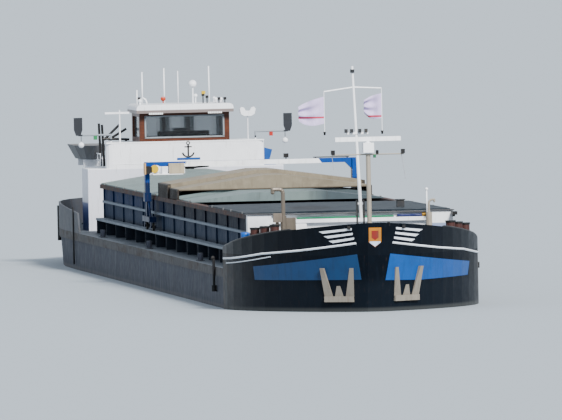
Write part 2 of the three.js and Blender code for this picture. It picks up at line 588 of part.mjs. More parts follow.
// Its roof has rounded edges, and carries a dome, two searchlight posts and a row of aerial feet.
const WHEELHOUSE_ROOF = { x: [-23.4, -20.4], y: 1.71, top: 7.17, round: 0.14 };
const roofEdge = [0, 1, 2, 3].map((step) => {
  const angle = (step / 3) * Math.PI / 2;
  const { y, top, round } = WHEELHOUSE_ROOF;
  return [y - round + round * Math.cos(angle), top - round + round * Math.sin(angle)];
});
const roofHalf = [[WHEELHOUSE_ROOF.y, WHEELHOUSE_Z], ...roofEdge];
const roofSection = [...roofHalf, ...roofHalf.map(([y, z]) => [-y, z]).reverse()];

// Roof gear: x, y, top of the post, radius of the post, radius of the ball on it
const ROOF_GEAR = [
  [-21.3, 0.38, 7.86, 0.03, 0.14], [-21.3, -0.67, 7.36, 0.02, 0.09], [-22.6, 0.62, 7.42, 0.025, 0.07],
  [-21.6, 1.22, 7.3, 0.05, 0.07], [-21.6, 1.4, 7.3, 0.05, 0.07], [-21.2, -1.5, 7.3, 0.04, 0.07],
  [-22.8, -1.3, 7.32, 0.03, 0.05], [-22.8, 1.3, 7.32, 0.03, 0.05],
];
const { top: roofTop } = WHEELHOUSE_ROOF;
piece('wheelhouse_roof', join(
  runX(roofSection, WHEELHOUSE_ROOF.x),
  ...ROOF_GEAR.flatMap(([x, y, top, radius, head]) => [
    bar([x, y, roofTop - ROOT], [x, y, top], radius, radius, 8), ball([x, y, top], head)]),
), MATERIALS.white);

const CONSOLE_Z = 6.1;
piece('helm', join(
  block([-22.9, -20.9], [-1.3, 1.3], [HOUSE_ROOF_Z, HOUSE_ROOF_Z + 0.03]),
  block([-21.5, -20.95], [-1.1, 1.1], [HOUSE_ROOF_Z, CONSOLE_Z - 0.1]),
  block([-21.35, -21.05], [-0.9, 0.9], [CONSOLE_Z - 0.11, CONSOLE_Z + 0.12]),
  bar([-22.2, 0, HOUSE_ROOF_Z], [-22.2, 0, 5.45], 0.06),
  block([-22.45, -21.95], [-0.25, 0.25], [5.44, 5.56]),
  block([-22.5, -22.4], [-0.24, 0.24], [5.5, 6.3])), MATERIALS.dark);

// Side boards on arms from the deckhouse roof, each with a ball hung under its arm
const SIDE_BOARD = {
  x: -21.2, post: 2.55, arm: 6.14, y: 3.7, low: 6.13, high: 6.76, widths: [0.08, 0.15], ball: 3.6,
};
for (const [name, side] of [['port', 1], ['starboard', -1]]) {
  const { x, post, arm, y, low, high, widths, ball: ballY } = SIDE_BOARD;
  const outline = [
    [side * y - widths[0], low], [side * y + widths[0], low], [side * y + widths[1], low + 0.2],
    [side * y + widths[1], high], [side * y - widths[1], high], [side * y - widths[1], low + 0.2],
  ];
  piece(`side_board_${name}`, join(
    bar([x, side * post, DECKHOUSE_Z], [x, side * post, arm], 0.03),
    bar([x, side * (post - 0.025), arm], [x, side * y, arm], 0.03),
    runX(outline, [x - 0.03, x + 0.03]),
    bar([x, side * ballY, arm], [x, side * ballY, arm - 0.3], 0.012, 0.012, 6),
    ball([x, side * ballY, arm - 0.34], 0.1)), MATERIALS.dark);
}

// Dinghy on its cradle
const DINGHY_SHELL = 0.04;
function dinghyRing(z, halfWidth, length) {
  const half = length / 2;
  return [
    [-half, -halfWidth, z], [half * 0.35, -halfWidth, z], [half * 0.8, -halfWidth * 0.62, z], [half, 0, z],
    [half * 0.8, halfWidth * 0.62, z], [half * 0.35, halfWidth, z], [-half, halfWidth, z],
  ].map(([x, y, height]) => [DINGHY.x + x, DINGHY.y + y, height]);
}
const dinghyOuter = loft([
  dinghyRing(DINGHY.keel, DINGHY.halfWidth * 0.6, DINGHY.length * 0.8),
  dinghyRing(DINGHY.sheer, DINGHY.halfWidth, DINGHY.length)]);
const dinghyInner = loft([
  dinghyRing(DINGHY.keel + DINGHY_SHELL, DINGHY.halfWidth * 0.6 - DINGHY_SHELL, DINGHY.length * 0.8 - 0.1),
  dinghyRing(DINGHY.sheer + DINGHY_SHELL, DINGHY.halfWidth - DINGHY_SHELL, DINGHY.length - 0.1)]);
const thwart = block([DINGHY.x - 0.4, DINGHY.x - 0.1], [DINGHY.y - 0.5, DINGHY.y + 0.5],
  [DINGHY.sheer - 0.14, DINGHY.sheer - 0.1]);
piece('dinghy', geometryOf(solid(dinghyOuter).subtract(solid(dinghyInner)).add(solid(thwart))), MATERIALS.grey);

// Gantry on the coaming ledges, in a group that stands at its place along the hold
const gantry = new THREE.Group();
gantry.position.x = mm(GANTRY_X);
barge.add(gantry);

// A portal: one leg a side on a long foot, with a shoulder block, a knee under the beam and two braces.
const LEG = { upper: 0.17, wide: 0.27, lower: 0.13, lowerY: 3.57, shoulder: [4.3, 4.6] };
const FOOT_BEAM = { y: [3.36, 3.6], z: [3.62, 3.8], reach: 1.1 };
const FORK = { plate: 0.025, width: 0.07, low: 3.42 };
const KNEE = 0.24;
function gantrySide(side) {
  const across = outboard(side);
  const [kneeY, kneeZ] = [LEG_Y[0] + ROOT, BEAM_Z[0] + ROOT];
  const knee = [
    [LEG_Y[0], BEAM_Z[0] - KNEE], [LEG_Y[0] - KNEE, kneeZ], [kneeY, kneeZ], [kneeY, BEAM_Z[0] - KNEE],
  ].map(([y, z]) => [side * y, z]);
  const forkZ = [FORK.low, FOOT_BEAM.z[0] + ROOT];
  const brace = [LEG.shoulder[0] + 0.05, FOOT_BEAM.z[1] - 0.03];
  const braceY = side * (LEG_Y[0] + LEG.lowerY) / 2;
  return [
    block([-LEG.upper, LEG.upper], across(...LEG_Y), [LEG.shoulder[0], BEAM_Z[1]]),
    block([-LEG.wide, LEG.wide], across(LEG_Y[0] - 0.03, LEG_Y[1] + 0.04), LEG.shoulder),
    block([-LEG.lower, LEG.lower], across(LEG_Y[0], LEG.lowerY),
      [FOOT_BEAM.z[1] - ROOT, LEG.shoulder[0] + ROOT]),
    block([-FOOT_BEAM.reach, FOOT_BEAM.reach], across(...FOOT_BEAM.y), FOOT_BEAM.z),
    runX(knee, [-BEAM_X, BEAM_X]),
    ...[-1, 1].map((end) =>
      bar([end * 0.1, braceY, brace[0]], [end * 0.75, braceY, brace[1]], 0.035, 0.035, 8)),
    ...[-WHEEL_X, WHEEL_X].flatMap((x) => [
      block([x - FORK.width, x + FORK.width], across(FORK_Y[0] - FORK.plate, FORK_Y[0]), forkZ),
      block([x - FORK.width, x + FORK.width], across(FORK_Y[1], FORK_Y[1] + FORK.plate), forkZ),
    ]),
  ];
}
piece('gantry_frame', join(
  block([-BEAM_X, BEAM_X], [-LEG_Y[1], LEG_Y[1]], BEAM_Z), ...gantrySide(1), ...gantrySide(-1)),
MATERIALS.blue, gantry);

// White casing on the beam's fore face, with the winch, its motor and its cabinet to starboard
const CASING = { x: [BEAM_X, 0.5], low: [-2.3, 2.37], high: [-2.2, 2.27] };
const WINCH = { y: -3.24, z: 5.4, radius: 0.125, x: [0.16, 0.4] };
const TRAY = { x: [0.14, 0.46], y: [-3.38, -2.34], z: [5.2, 5.24] };
piece('gantry_winch_box', join(
  runX([
    [CASING.low[0], BEAM_Z[0]], [CASING.low[1], BEAM_Z[0]],
    [CASING.high[1], BEAM_Z[1]], [CASING.high[0], BEAM_Z[1]]], CASING.x),
  block(TRAY.x, TRAY.y, TRAY.z),
  block([0.18, 0.44], [-2.8, -2.28], [TRAY.z[1] - ROOT, BEAM_Z[1] - 0.06]),
  block([0.2, 0.4], [-3.05, -2.86], [TRAY.z[1] - ROOT, BEAM_Z[0]]),
  bar([WINCH.x[0], WINCH.y, WINCH.z], [WINCH.x[1], WINCH.y, WINCH.z], WINCH.radius, WINCH.radius, 20),
  block([0.2, 0.36], [WINCH.y - 0.08, WINCH.y + 0.08], [TRAY.z[1] - ROOT, WINCH.z])), MATERIALS.white, gantry);

const WHEEL_ROWS = [
  ['fore_port', 1, 1], ['aft_port', -1, 1], ['fore_starboard', 1, -1], ['aft_starboard', -1, -1],
];
for (const [name, end, side] of WHEEL_ROWS) {
  const [x, z] = [end * WHEEL_X, LEDGE_Z + WHEEL_R + SEAT];
  piece(`gantry_wheel_${name}`, join(
    bar([x, side * WHEEL_Y[0], z], [x, side * WHEEL_Y[1], z], WHEEL_R, WHEEL_R, 24),
    bar([x, side * (FORK_Y[0] + SEAT), z], [x, side * (FORK_Y[1] - SEAT), z], 0.04, 0.04, 12)),
  MATERIALS.dark, gantry);
}

// Flag mast with its yard, halyards and lamps; it folds aft between the cheeks of its post
const CHEEK_Y = [0.09, 0.13];
const mastAt = (z) => -MAST_LEAN * (z - MAST_PIVOT_Z) / (MAST_TOP_Z - MAST_PIVOT_Z);
const YARD_MIDDLE_Z = 8.57;
const YARD_Z = [8.445, 8.52];
const YARD_Y = [-1.096, 0.753];
const HALYARD_END_Z = 7.13;
const HALYARD_R = 0.012;
const mastParts = [
  bar([MAST_X, mastAt(4.4), 4.4], [MAST_X, mastAt(MAST_TOP_Z), MAST_TOP_Z], 0.06, 0.035),
  ...YARD_Y.map((y, end) =>
    bar([MAST_X, mastAt(YARD_MIDDLE_Z), YARD_MIDDLE_Z], [MAST_X, y, YARD_Z[end]], 0.025, 0.025, 8)),
  block([MAST_X - 0.06, MAST_X + 0.06], [-0.4, 0.3], [7.07, 7.14]),
  bar([MAST_X, -CHEEK_Y[0] + SEAT, MAST_PIVOT_Z], [MAST_X, CHEEK_Y[0] - SEAT, MAST_PIVOT_Z], 0.04),
];
YARD_Y.forEach((y, end) => {
  mastParts.push(bar([MAST_X, y, YARD_Z[end]], [MAST_X, y, HALYARD_END_Z], HALYARD_R, HALYARD_R, 6));
  mastParts.push(ball([MAST_X, y, HALYARD_END_Z], 0.035));
});
piece('flag_mast', join(...mastParts), MATERIALS.white);

piece('mast_post', join(
  ...[1, -1].map((side) => block([MAST_X - 0.1, MAST_X + 0.1],
    side > 0 ? CHEEK_Y : [-CHEEK_Y[1], -CHEEK_Y[0]], [3.3, MAST_PIVOT_Z + 0.12])),
  block([MAST_X - 0.1, MAST_X + 0.1], [-0.1, 0.1], [FOREDECK_Z, 4.2])), MATERIALS.dark);

// Flags: name, halyard y, width, low z, high z
const FLAG_T = 0.02;
const FLAGS = [
  ['flag_starboard', YARD_Y[0], 0.88, 7.43, 8.29],
  ['flag_port', YARD_Y[1], 0.58, 7.57, 8.36],
];
for (const [name, y, width, low, high] of FLAGS) {
  const luff = y - HALYARD_R - SEAT;
  piece(name, block([MAST_X - FLAG_T / 2, MAST_X + FLAG_T / 2], [luff - width, luff], [low, high]),
    MATERIALS.cloth);
}

// Radar column with its gearbox and yard, and the turning scanner
const SCANNER_Z = 6.92;
piece('radar_column', join(
  bar([RADAR_X, 0, FOREDECK_Z], [RADAR_X, 0, 6.55], 0.075),
  block([RADAR_X - 0.2, RADAR_X + 0.2], [-0.17, 0.17], [6.53, 6.84]),
  bar([RADAR_X - 0.05, -1.15, 6.47], [RADAR_X - 0.05, 1.15, 6.47], 0.02, 0.02, 8)), MATERIALS.beige);
piece('radar_scanner', join(
  bar([RADAR_X, 0, 6.84 + SEAT], [RADAR_X, 0, SCANNER_Z], 0.06),
  block([RADAR_X - 0.06, RADAR_X + 0.06], [-1.05, 1.05], [SCANNER_Z - 0.03, SCANNER_Z + 0.11])),
MATERIALS.white);

// Foredeck: two rows of three fat bollards, each stepping back from the side
const BOLLARD = { x: 28.5, back: 0.36, apart: 0.276, radius: 0.155, foot: 0.23, top: 4.17, rise: 0.05 };
for (const [name, side, middle] of [['port', 1, 3.22], ['starboard', -1, 2.99]]) {
  const { x, back, apart, radius, foot, top, rise } = BOLLARD;
  const posts = [-1, 0, 1].flatMap((step) => {
    const place = [x + step * back, side * (middle - step * apart)];
    return [
      bar([...place, FOREDECK_Z], [...place, FOREDECK_Z + 0.06], foot, foot, 20),
      bar([...place, FOREDECK_Z + 0.04], [...place, top + step * rise], radius, radius, 16)];
  });
  piece(`bow_bollards_${name}`, join(...posts), MATERIALS.rust);
}

// Windlass: a drum on three cheeks, with a chain wheel between them on each side
const WINDLASS = { x: [30.0, 30.7], y: 0.8, cheeks: [-0.6, 0, 0.6], wheels: [-0.34, 0.34] };
const DRUM = { x: 30.35, z: 3.75, reach: 0.9, radius: 0.16, wheel: 0.27 };
const drumBar = (y0, y1, radius) => bar([DRUM.x, y0, DRUM.z], [DRUM.x, y1, DRUM.z], radius, radius, 16);
piece('anchor_windlass', join(
  block(WINDLASS.x, [-WINDLASS.y, WINDLASS.y], [FOREDECK_Z, FOREDECK_Z + 0.1]),
  ...WINDLASS.cheeks.map((y) => block([DRUM.x - 0.25, DRUM.x + 0.25], [y - 0.06, y + 0.06],
    [FOREDECK_Z, DRUM.z + 0.2])),
  drumBar(-DRUM.reach, DRUM.reach, DRUM.radius),
  ...WINDLASS.wheels.map((y) => drumBar(y - 0.05, y + 0.05, DRUM.wheel))), MATERIALS.paleGrey);

// Vents: a wide foot and a pipe that bends over at its top. The starboard one shares its foot with a locker.
const VENT = { x: 28.2, footTop: 4.5, foot: 0.1, bend: 0.12 };
function vent(y, top, radius, reach, drop) {
  const { x, footTop, foot, bend } = VENT;
  const arc = [1, 2, 3].map((step) => {
    const angle = (step / 3) * Math.PI / 2;
    return [x, y + Math.sign(reach) * bend * (1 - Math.cos(angle)), top + bend * Math.sin(angle)];
  });
  const path = [[x, y, footTop - 0.05], [x, y, top], ...arc,
    [x, y + reach, top + bend], [x, y + reach, top + bend - drop]];
  const pipes = path.slice(1).flatMap((point, index) =>
    [bar(path[index], point, radius, radius, 8), ball(point, radius)]);
  return [bar([x, y, FOREDECK_Z], [x, y, footTop], foot), ...pipes];
}
const LOCKER = { x: [27.5, 28.05], y: [-2.26, -1.93], top: 4.42 };
piece('bow_vent_starboard', join(
  ...vent(-2.35, 5.22, 0.065, -0.33, 0.1), block(LOCKER.x, LOCKER.y, [FOREDECK_Z, LOCKER.top]),
  block([LOCKER.x[1] - ROOT, VENT.x], [LOCKER.y[0], LOCKER.y[0] + 0.12], [FOREDECK_Z, FOREDECK_Z + 0.5])),
MATERIALS.paleGrey);
piece('bow_vent_port', join(...vent(2.34, 4.78, 0.035, 0.18, 0.06)), MATERIALS.beige);

// Anchors drawn up against the bow: a crown with two tapered flukes that open upwards
const ANCHOR = { x: 32.0, y: 1.01, turn: 0.62, low: 1.98, high: 2.9, front: 0.11, rake: 0.18, back: -0.45 };
const FLUKE = { foot: 0.38, tip: 0.54, footHalf: 0.15, tipHalf: 0.06 };
const ANCHOR_CLEAR = 1.0002;
const grownBow = bowHull.translate([-mm(HOLD_FORE), 0, 0]).scale([ANCHOR_CLEAR, ANCHOR_CLEAR, 1])
  .translate([mm(HOLD_FORE), 0, 0]);
const anchorRing = (y, half, z, front) =>
  [[ANCHOR.back, y - half, z], [front, y - half, z], [front, y + half, z], [ANCHOR.back, y + half, z]];
const fluke = (end) => loft([
  anchorRing(end * FLUKE.foot, FLUKE.footHalf, ANCHOR.low, ANCHOR.front),
  anchorRing(end * FLUKE.tip, FLUKE.tipHalf, ANCHOR.high, ANCHOR.front + ANCHOR.rake)]);
for (const [name, side] of [['port', 1], ['starboard', -1]]) {
  const anchor = joined(...[
    fluke(1), fluke(-1),
    block([ANCHOR.back, ANCHOR.front + 0.05], [-0.52, 0.52], [ANCHOR.low - 0.16, ANCHOR.low + 0.02]),
    loft([
      anchorRing(0, 0.16, ANCHOR.low, ANCHOR.front),
      anchorRing(0, 0.06, ANCHOR.low + 0.35, ANCHOR.front + 0.06)]),
  ].map((shape) => shape.rotateZ(side * ANCHOR.turn).translate(mm(ANCHOR.x), side * mm(ANCHOR.y), 0)));
  piece(`anchor_${name}`, geometryOf(anchor.subtract(grownBow)), MATERIALS.beige);
}

// A pole with a thick foot hangs against the starboard side, and a short fender against the port side.
const POLE = { x: 24.0, radius: 0.045, low: 2.0, foot: 2.2, top: 3.08, footRadius: 0.08 };
const poleY = -HALF_BEAM - POLE.radius - SEAT;
piece('fender_starboard', join(
  bar([POLE.x, poleY, POLE.foot - ROOT], [POLE.x, poleY, POLE.top], POLE.radius),
  bar([POLE.x, poleY, POLE.low], [POLE.x, poleY, POLE.foot], POLE.footRadius, POLE.footRadius, 12),
  ball([POLE.x, poleY - 0.02, POLE.top], 0.065)), MATERIALS.rubber);
const FENDER = { x: 25.6, radius: 0.09, low: 2.6, top: 2.79 };
const fenderY = HALF_BEAM + FENDER.radius + SEAT;
piece('fender_port', join(
  bar([FENDER.x, fenderY, FENDER.low], [FENDER.x, fenderY, FENDER.top], FENDER.radius, FENDER.radius, 16)),
MATERIALS.rubber);

// Propeller and rudder under the counter
const BLADES = 4;
const BLADE = { thickness: 0.05, width: 0.34, length: 0.5, centre: 0.36, pitch: 0.6 };
const blades = Array.from({ length: BLADES }, (_, index) =>
  new THREE.BoxGeometry(mm(BLADE.thickness), mm(BLADE.width), mm(BLADE.length))
    .rotateZ(BLADE.pitch)
    .translate(0, 0, mm(BLADE.centre))
    .rotateX((index / BLADES) * 2 * Math.PI)
    .translate(mm(PROPELLER_X), 0, mm(SHAFT_Z)));
piece('propeller', join(
  bar([PROPELLER_X - 0.25, 0, SHAFT_Z], [TUBE.aft - SEAT, 0, SHAFT_Z], 0.08, TUBE.radius, 16),
  ...blades), MATERIALS.bronze);

const RUDDER = { x: -30.9, fore: 0.35, aft: 1.0, halfT: 0.05, low: 0.12, high: 1.36, stock: 0.09 };
piece('rudder', join(
  block([RUDDER.x - RUDDER.aft, RUDDER.x + RUDDER.fore], [-RUDDER.halfT, RUDDER.halfT],
    [RUDDER.low, RUDDER.high]),
  bar([RUDDER.x, 0, RUDDER.low], [RUDDER.x, 0, COUNTER_Z - SEAT], RUDDER.stock)), MATERIALS.hull);

export default barge;
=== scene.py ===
# %% [markdown]
# # A river cargo barge, dressed around its frame
# The barge comes packed as plain solids, one for each piece, and those solids are the frame. This
# script gives each of them a finish and adds what they lack: painted bands on the bow, wires,
# lamps, cloth and small fittings. It never moves a solid. Lengths are metres of the 1:2 model, so a
# real length is halved with K before it is used.

# %% Load the frame
import math

import bpy
import bmesh
from mathutils import Matrix, Vector
from mathutils.bvhtree import BVHTree


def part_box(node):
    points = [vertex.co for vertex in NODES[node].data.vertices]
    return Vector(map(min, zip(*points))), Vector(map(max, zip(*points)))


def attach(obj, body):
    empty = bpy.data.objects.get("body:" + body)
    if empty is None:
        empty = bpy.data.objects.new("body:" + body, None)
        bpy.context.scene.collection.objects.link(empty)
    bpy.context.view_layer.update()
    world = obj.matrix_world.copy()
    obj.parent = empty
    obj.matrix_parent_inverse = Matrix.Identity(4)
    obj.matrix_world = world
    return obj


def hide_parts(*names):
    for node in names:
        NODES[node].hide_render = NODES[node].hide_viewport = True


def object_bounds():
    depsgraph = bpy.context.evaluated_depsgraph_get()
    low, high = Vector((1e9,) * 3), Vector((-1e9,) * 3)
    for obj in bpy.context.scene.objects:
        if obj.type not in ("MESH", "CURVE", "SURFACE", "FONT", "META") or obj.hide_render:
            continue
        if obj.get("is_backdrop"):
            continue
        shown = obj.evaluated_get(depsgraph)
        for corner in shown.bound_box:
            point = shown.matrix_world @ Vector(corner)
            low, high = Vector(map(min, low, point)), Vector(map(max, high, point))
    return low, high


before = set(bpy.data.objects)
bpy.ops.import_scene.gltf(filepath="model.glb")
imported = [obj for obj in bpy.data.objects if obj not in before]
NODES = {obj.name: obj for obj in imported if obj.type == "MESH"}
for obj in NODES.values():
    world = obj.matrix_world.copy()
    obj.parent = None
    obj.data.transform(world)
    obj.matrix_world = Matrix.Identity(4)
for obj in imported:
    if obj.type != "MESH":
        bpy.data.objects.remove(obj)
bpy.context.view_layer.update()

K = 0.5
SIDES = (1, -1)  # port and starboard, as signs of Y


# %% [markdown]
# ## Real metres
# Every measure of this ship was worked out in real metres, so the script thinks in them too. One
# function halves them on the way into Blender, and another gives a finished piece's size back in
# real metres, which is easier to judge than model metres.

# %% Real metres


def real(*values):
    """A place on the real ship, in metres, as a place on the model."""
    return Vector(values) * K


def size_of(piece):
    """Length, width and height of a piece in real metres."""
    places = [v.co / K for v in piece.data.vertices]
    return [round(max(p[i] for p in places) - min(p[i] for p in places), 2) for i in range(3)]


print("one real metre is", real(1, 0, 0).x, "on the model")


# %% [markdown]
# ## Camera
# The photograph was taken from far off with a very long lens, a little to starboard of the bow and
# just above deck level. Perspective is almost flat, so the place of the camera was worked out from
# the ship's own lines. The picture also leans by about one degree, and the camera rolls to match.

# %% Where the camera looks
BEARING = math.radians(6.72)  # of the camera from the bow, to starboard
DIP = math.radians(1.525)
ROLL = 0.0212
CAMERA_Z = 18.03
AIM_DEPTH = 503.7  # from the camera to the fore end of the hold
AIM_SIDE = 2.17  # of that point to the right of the picture's middle
HOLD_FORE = 26.2

ahead = Vector((-math.cos(BEARING), math.sin(BEARING), 0))
right = Vector((math.sin(BEARING), math.cos(BEARING), 0))
spot = Vector((HOLD_FORE, 0, CAMERA_Z)) - ahead * AIM_DEPTH - right * AIM_SIDE
look = (ahead * math.cos(DIP) - Vector((0, 0, 1)) * math.sin(DIP)).normalized()
up = right.cross(look)
rolled_up = up * math.cos(ROLL) + right * math.sin(ROLL)
rolled_right = right * math.cos(ROLL) - up * math.sin(ROLL)
print("the camera stands", round(AIM_DEPTH), "m ahead of the hold and looks along",
      [round(v, 3) for v in look])

# %% Camera
FOCAL_PX = 15700
FRAME_W = 562
SENSOR = 36
CLIP = (1, 6000)

camera = bpy.data.objects.new("camera", bpy.data.cameras.new("camera"))
bpy.context.scene.collection.objects.link(camera)
camera.data.sensor_width = SENSOR
camera.data.lens = FOCAL_PX / FRAME_W * SENSOR
camera.data.clip_start, camera.data.clip_end = CLIP
camera.matrix_world = Matrix((
    (*rolled_right.xyz,), (*rolled_up.xyz,), (*(-look).xyz,))).transposed().to_4x4()
camera.location = spot * K
bpy.context.scene.camera = camera
print("camera", [round(v, 1) for v in camera.location], "lens", round(camera.data.lens))


# %% [markdown]
# ## Colours
# A photograph gives colours as a screen shows them, but shaders work with linear light. One
# function turns a screen colour into the other kind. It enters dark colours a little darker still,
# because the light in this scene is strong enough to make white paint bright and would lift them.

# %% Colours


def tint(code):
    """A screen colour like 'a0b0c0' as the linear colour that shaders work in."""
    parts = [int(code[i:i + 2], 16) / 255 for i in (0, 2, 4)]
    linear = [p / 12.92 if p <= 0.04045 else ((p + 0.055) / 1.055) ** 2.4 for p in parts]
    return [p * (0.5 + 0.5 * p) for p in linear] + [1]


print("middle grey is entered as", [round(v, 3) for v in tint("808080")])


# %% [markdown]
# ## Masks from the place on the ship
# Ship's paint is never one colour: rain draws streaks down it, rust creeps out of seams and dirt
# settles on flat tops. Such marks could be painted by hand on an image, but here each has a mask
# that nodes work out from the place on the ship. That needs no picture, and it fits any shape. This
# first class only makes nodes and masks.

# %% Masks from the place on the ship
SEED_SHIFT = (1.0, 1.7, 0.6)  # moves the noise along all three axes for each step of its seed


class Masks:
    """The nodes of one material. Places and sizes are in real metres."""

    def __init__(self, name):
        self.material = bpy.data.materials.new(name)
        self.material.use_nodes = True
        self.tree = self.material.node_tree
        self.place = self.node("ShaderNodeVectorMath", {
            0: self.node("ShaderNodeTexCoord", {}, "Object"), "Scale": 1 / K}, operation="SCALE")
        self.split = self.node("ShaderNodeSeparateXYZ", {0: self.place}, None)
        facing = self.node("ShaderNodeNewGeometry", {}, "Normal")
        self.facing = self.node("ShaderNodeSeparateXYZ", {0: facing}, None)

    def node(self, kind, inputs, output=0, **settings):
        node = self.tree.nodes.new(kind)
        for key, value in settings.items():
            setattr(node, key, value)
        for key, value in inputs.items():
            if isinstance(value, bpy.types.NodeSocket):
                self.tree.links.new(value, node.inputs[key])
            else:
                node.inputs[key].default_value = value
        return node if output is None else node.outputs[output]

    def math(self, operation, a, b=0.0, c=0.0):
        return self.node("ShaderNodeMath", {0: a, 1: b, 2: c}, operation=operation)

    def axis(self, name):
        return self.split.outputs[name]

    def across(self):
        """How far a place is from the centre line, the same on both sides."""
        return self.math("ABSOLUTE", self.axis("Y"))

    def ramp(self, value, low, high):
        """0 below low and 1 above high, or the other way round where low is the larger."""
        return self.node("ShaderNodeMapRange", {
            "Value": value, "From Min": low, "From Max": high}, interpolation_type="SMOOTHSTEP")

    def noise(self, size, stretch=(1, 1, 1), detail=4, seed=0.0, rough=0.6):
        """Noise with spots of about the given size, stretched along the axes."""
        place = self.node("ShaderNodeMapping", {
            "Vector": self.place, "Scale": [1 / (size * s) for s in stretch],
            "Location": [seed * shift for shift in SEED_SHIFT]})
        return self.node("ShaderNodeTexNoise", {
            "Vector": place, "Scale": 1.0, "Detail": detail, "Roughness": rough}, "Fac")

    def spots(self, size, low, high, stretch=(1, 1, 1), detail=4, seed=0.0):
        """Noise as a mask, which is 1 where the noise is above high."""
        return self.ramp(self.noise(size, stretch, detail, seed), low, high)

    def band(self, axis, low, high, soft=0.02):
        """1 between two places on an axis, with soft edges."""
        value = self.axis(axis)
        return self.both(self.ramp(value, low - soft, low + soft),
                         self.ramp(value, high + soft, high - soft))

    def both(self, first, second):
        """1 only where both masks are."""
        return self.math("MULTIPLY", first, second)


print("a seed of 2 moves the noise by", [2 * shift for shift in SEED_SHIFT])


# %% [markdown]
# ## Paint in layers
# A `Paint` starts from one colour and lays others over it, as a painter works from the ground coat
# up. Each layer is a Mix node with a mask. The order of the calls is the order of the layers, so a
# finish can be read from top to bottom, which is harder in a drawn tree of nodes.

# %% Paint in layers
SHARE, UNDER, OVER, MIXED = 0, 6, 7, 2  # sockets of a Mix node that mixes colours
AHEAD = 1000  # joints added before counting, so that no place lies before the first one
BUMP_DEPTH = 0.01


class Paint(Masks):
    """A node material built up in layers."""

    def __init__(self, name, color, rough=0.6, metallic=0.0, shine=0.3):
        super().__init__(name)
        self.shader = self.tree.nodes["Principled BSDF"]
        self.shader.inputs["Metallic"].default_value = metallic
        self.shader.inputs["Specular IOR Level"].default_value = shine
        self.color = self.node("ShaderNodeRGB", {}, 0)
        self.color.default_value = tint(color)
        self.rough = rough

    def over(self, color, mask, strength=1.0):
        """Lays a colour over what is there, where the mask is 1."""
        self.color = self.node("ShaderNodeMix", {
            SHARE: self.math("MULTIPLY", mask, strength), UNDER: self.color, OVER: tint(color)},
            MIXED, data_type="RGBA")
        return self

    def mottle(self, color, size=0.6, strength=0.5, seed=1.0, low=0.45, high=0.7):
        """Blotches of another colour."""
        return self.over(color, self.spots(size, low, high, seed=seed), strength)

    def streaks(self, color, width=0.12, length=1.2, strength=0.5, seed=2.0, low=0.5, high=0.72):
        """Marks that run down from above."""
        mark = self.spots(1, low, high, (width, width, length), 5, seed)
        return self.over(color, mark, strength)

    def tops(self, color, strength=1.0, low=0.5, high=0.85):
        """A colour on the faces that look up."""
        return self.over(color, self.ramp(self.facing.outputs["Z"], low, high), strength)

    def seams(self, color, axis, apart, width, strength=0.6):
        """Thin lines across an axis, such as welds or the joints of planks."""
        middle = apart / 2
        along = self.math("MODULO", self.math("ADD", self.axis(axis), AHEAD * apart), apart)
        off = self.math("ABSOLUTE", self.math("ADD", along, -middle))
        return self.over(color, self.ramp(off, middle - width, middle), strength)

    def done(self, bump=0.0, grain=0.05, rough_spread=0.15, alpha=None):
        """Joins the layers to the shader and gives the finished material."""
        inputs = self.shader.inputs
        self.tree.links.new(self.color, inputs["Base Color"])
        spread = self.node("ShaderNodeMapRange", {
            "Value": self.noise(0.3, seed=9.0), "To Min": self.rough - rough_spread,
            "To Max": min(1.0, self.rough + rough_spread)})
        self.tree.links.new(spread, inputs["Roughness"])
        if bump:
            self.tree.links.new(self.node("ShaderNodeBump", {
                "Height": self.noise(grain, seed=4.0), "Strength": bump,
                "Distance": BUMP_DEPTH}), inputs["Normal"])
        if alpha is not None:
            inputs["Alpha"].default_value = alpha
        return self.material


print("joints counted from", AHEAD, "before the middle of the ship")


# %% [markdown]
# ## A worn finish, and putting it on a solid
# Most small fittings share one kind of finish: a ground colour, some dirt, a few streaks and
# perhaps rust. One function makes it, so that the fittings look as if they had stood in the same
# weather. A material is put on a solid of the frame by its name, and the solid's mesh isn't
# touched.

# %% A worn finish, and putting it on a solid
RUST = "6d4028"


def wear(name, color, rough=0.6, dirt="5a5348", amount=0.35, rust=0.0, metallic=0.0):
    """A plain painted surface with some dirt, a few streaks and, if asked, rust."""
    paint = Paint(name, color, rough, metallic)
    paint.mottle(dirt, 0.5, amount * 0.7).streaks(dirt, strength=amount)
    if rust:
        paint.streaks(RUST, 0.07, 0.7, rust, seed=6.0, low=0.56, high=0.7)
    return paint.done(bump=0.12)


def dress(material, *names):
    """Puts one material on the solids of these names."""
    for name in names:
        mesh = NODES[name].data
        mesh.materials.clear()
        mesh.materials.append(material)
        mesh.polygons.foreach_set("material_index", [0] * len(mesh.polygons))


print("solids to dress", len(NODES))


# %% [markdown]
# ## Rings of points
# A bar, a ball and a moulded section all have the same skin: rings of points, joined by four-sided
# faces. Blender can add a cylinder or sphere ready made, but a bar along a bent path needs its own
# rings, and then one way of joining them serves every shape.

# %% Rings of points


def turns(count):
    """Angles evenly spread round a circle."""
    return [2 * math.pi * n / count for n in range(count)]


def skin(steps, count):
    """Faces from each ring of points to the next."""
    return [(r * count + n, r * count + (n + 1) % count,
             (r + 1) * count + (n + 1) % count, (r + 1) * count + n)
            for r in range(steps) for n in range(count)]


def ends(steps, count):
    """The two flat faces that close the first and last ring."""
    return [tuple(reversed(range(count))), tuple(range(steps * count, (steps + 1) * count))]


print("faces between two rings of 8", len(skin(1, 8)))

# %% A bar along a path
MIN_SIDE = 0.2  # shorter than this, a direction lies too nearly along the path to build on


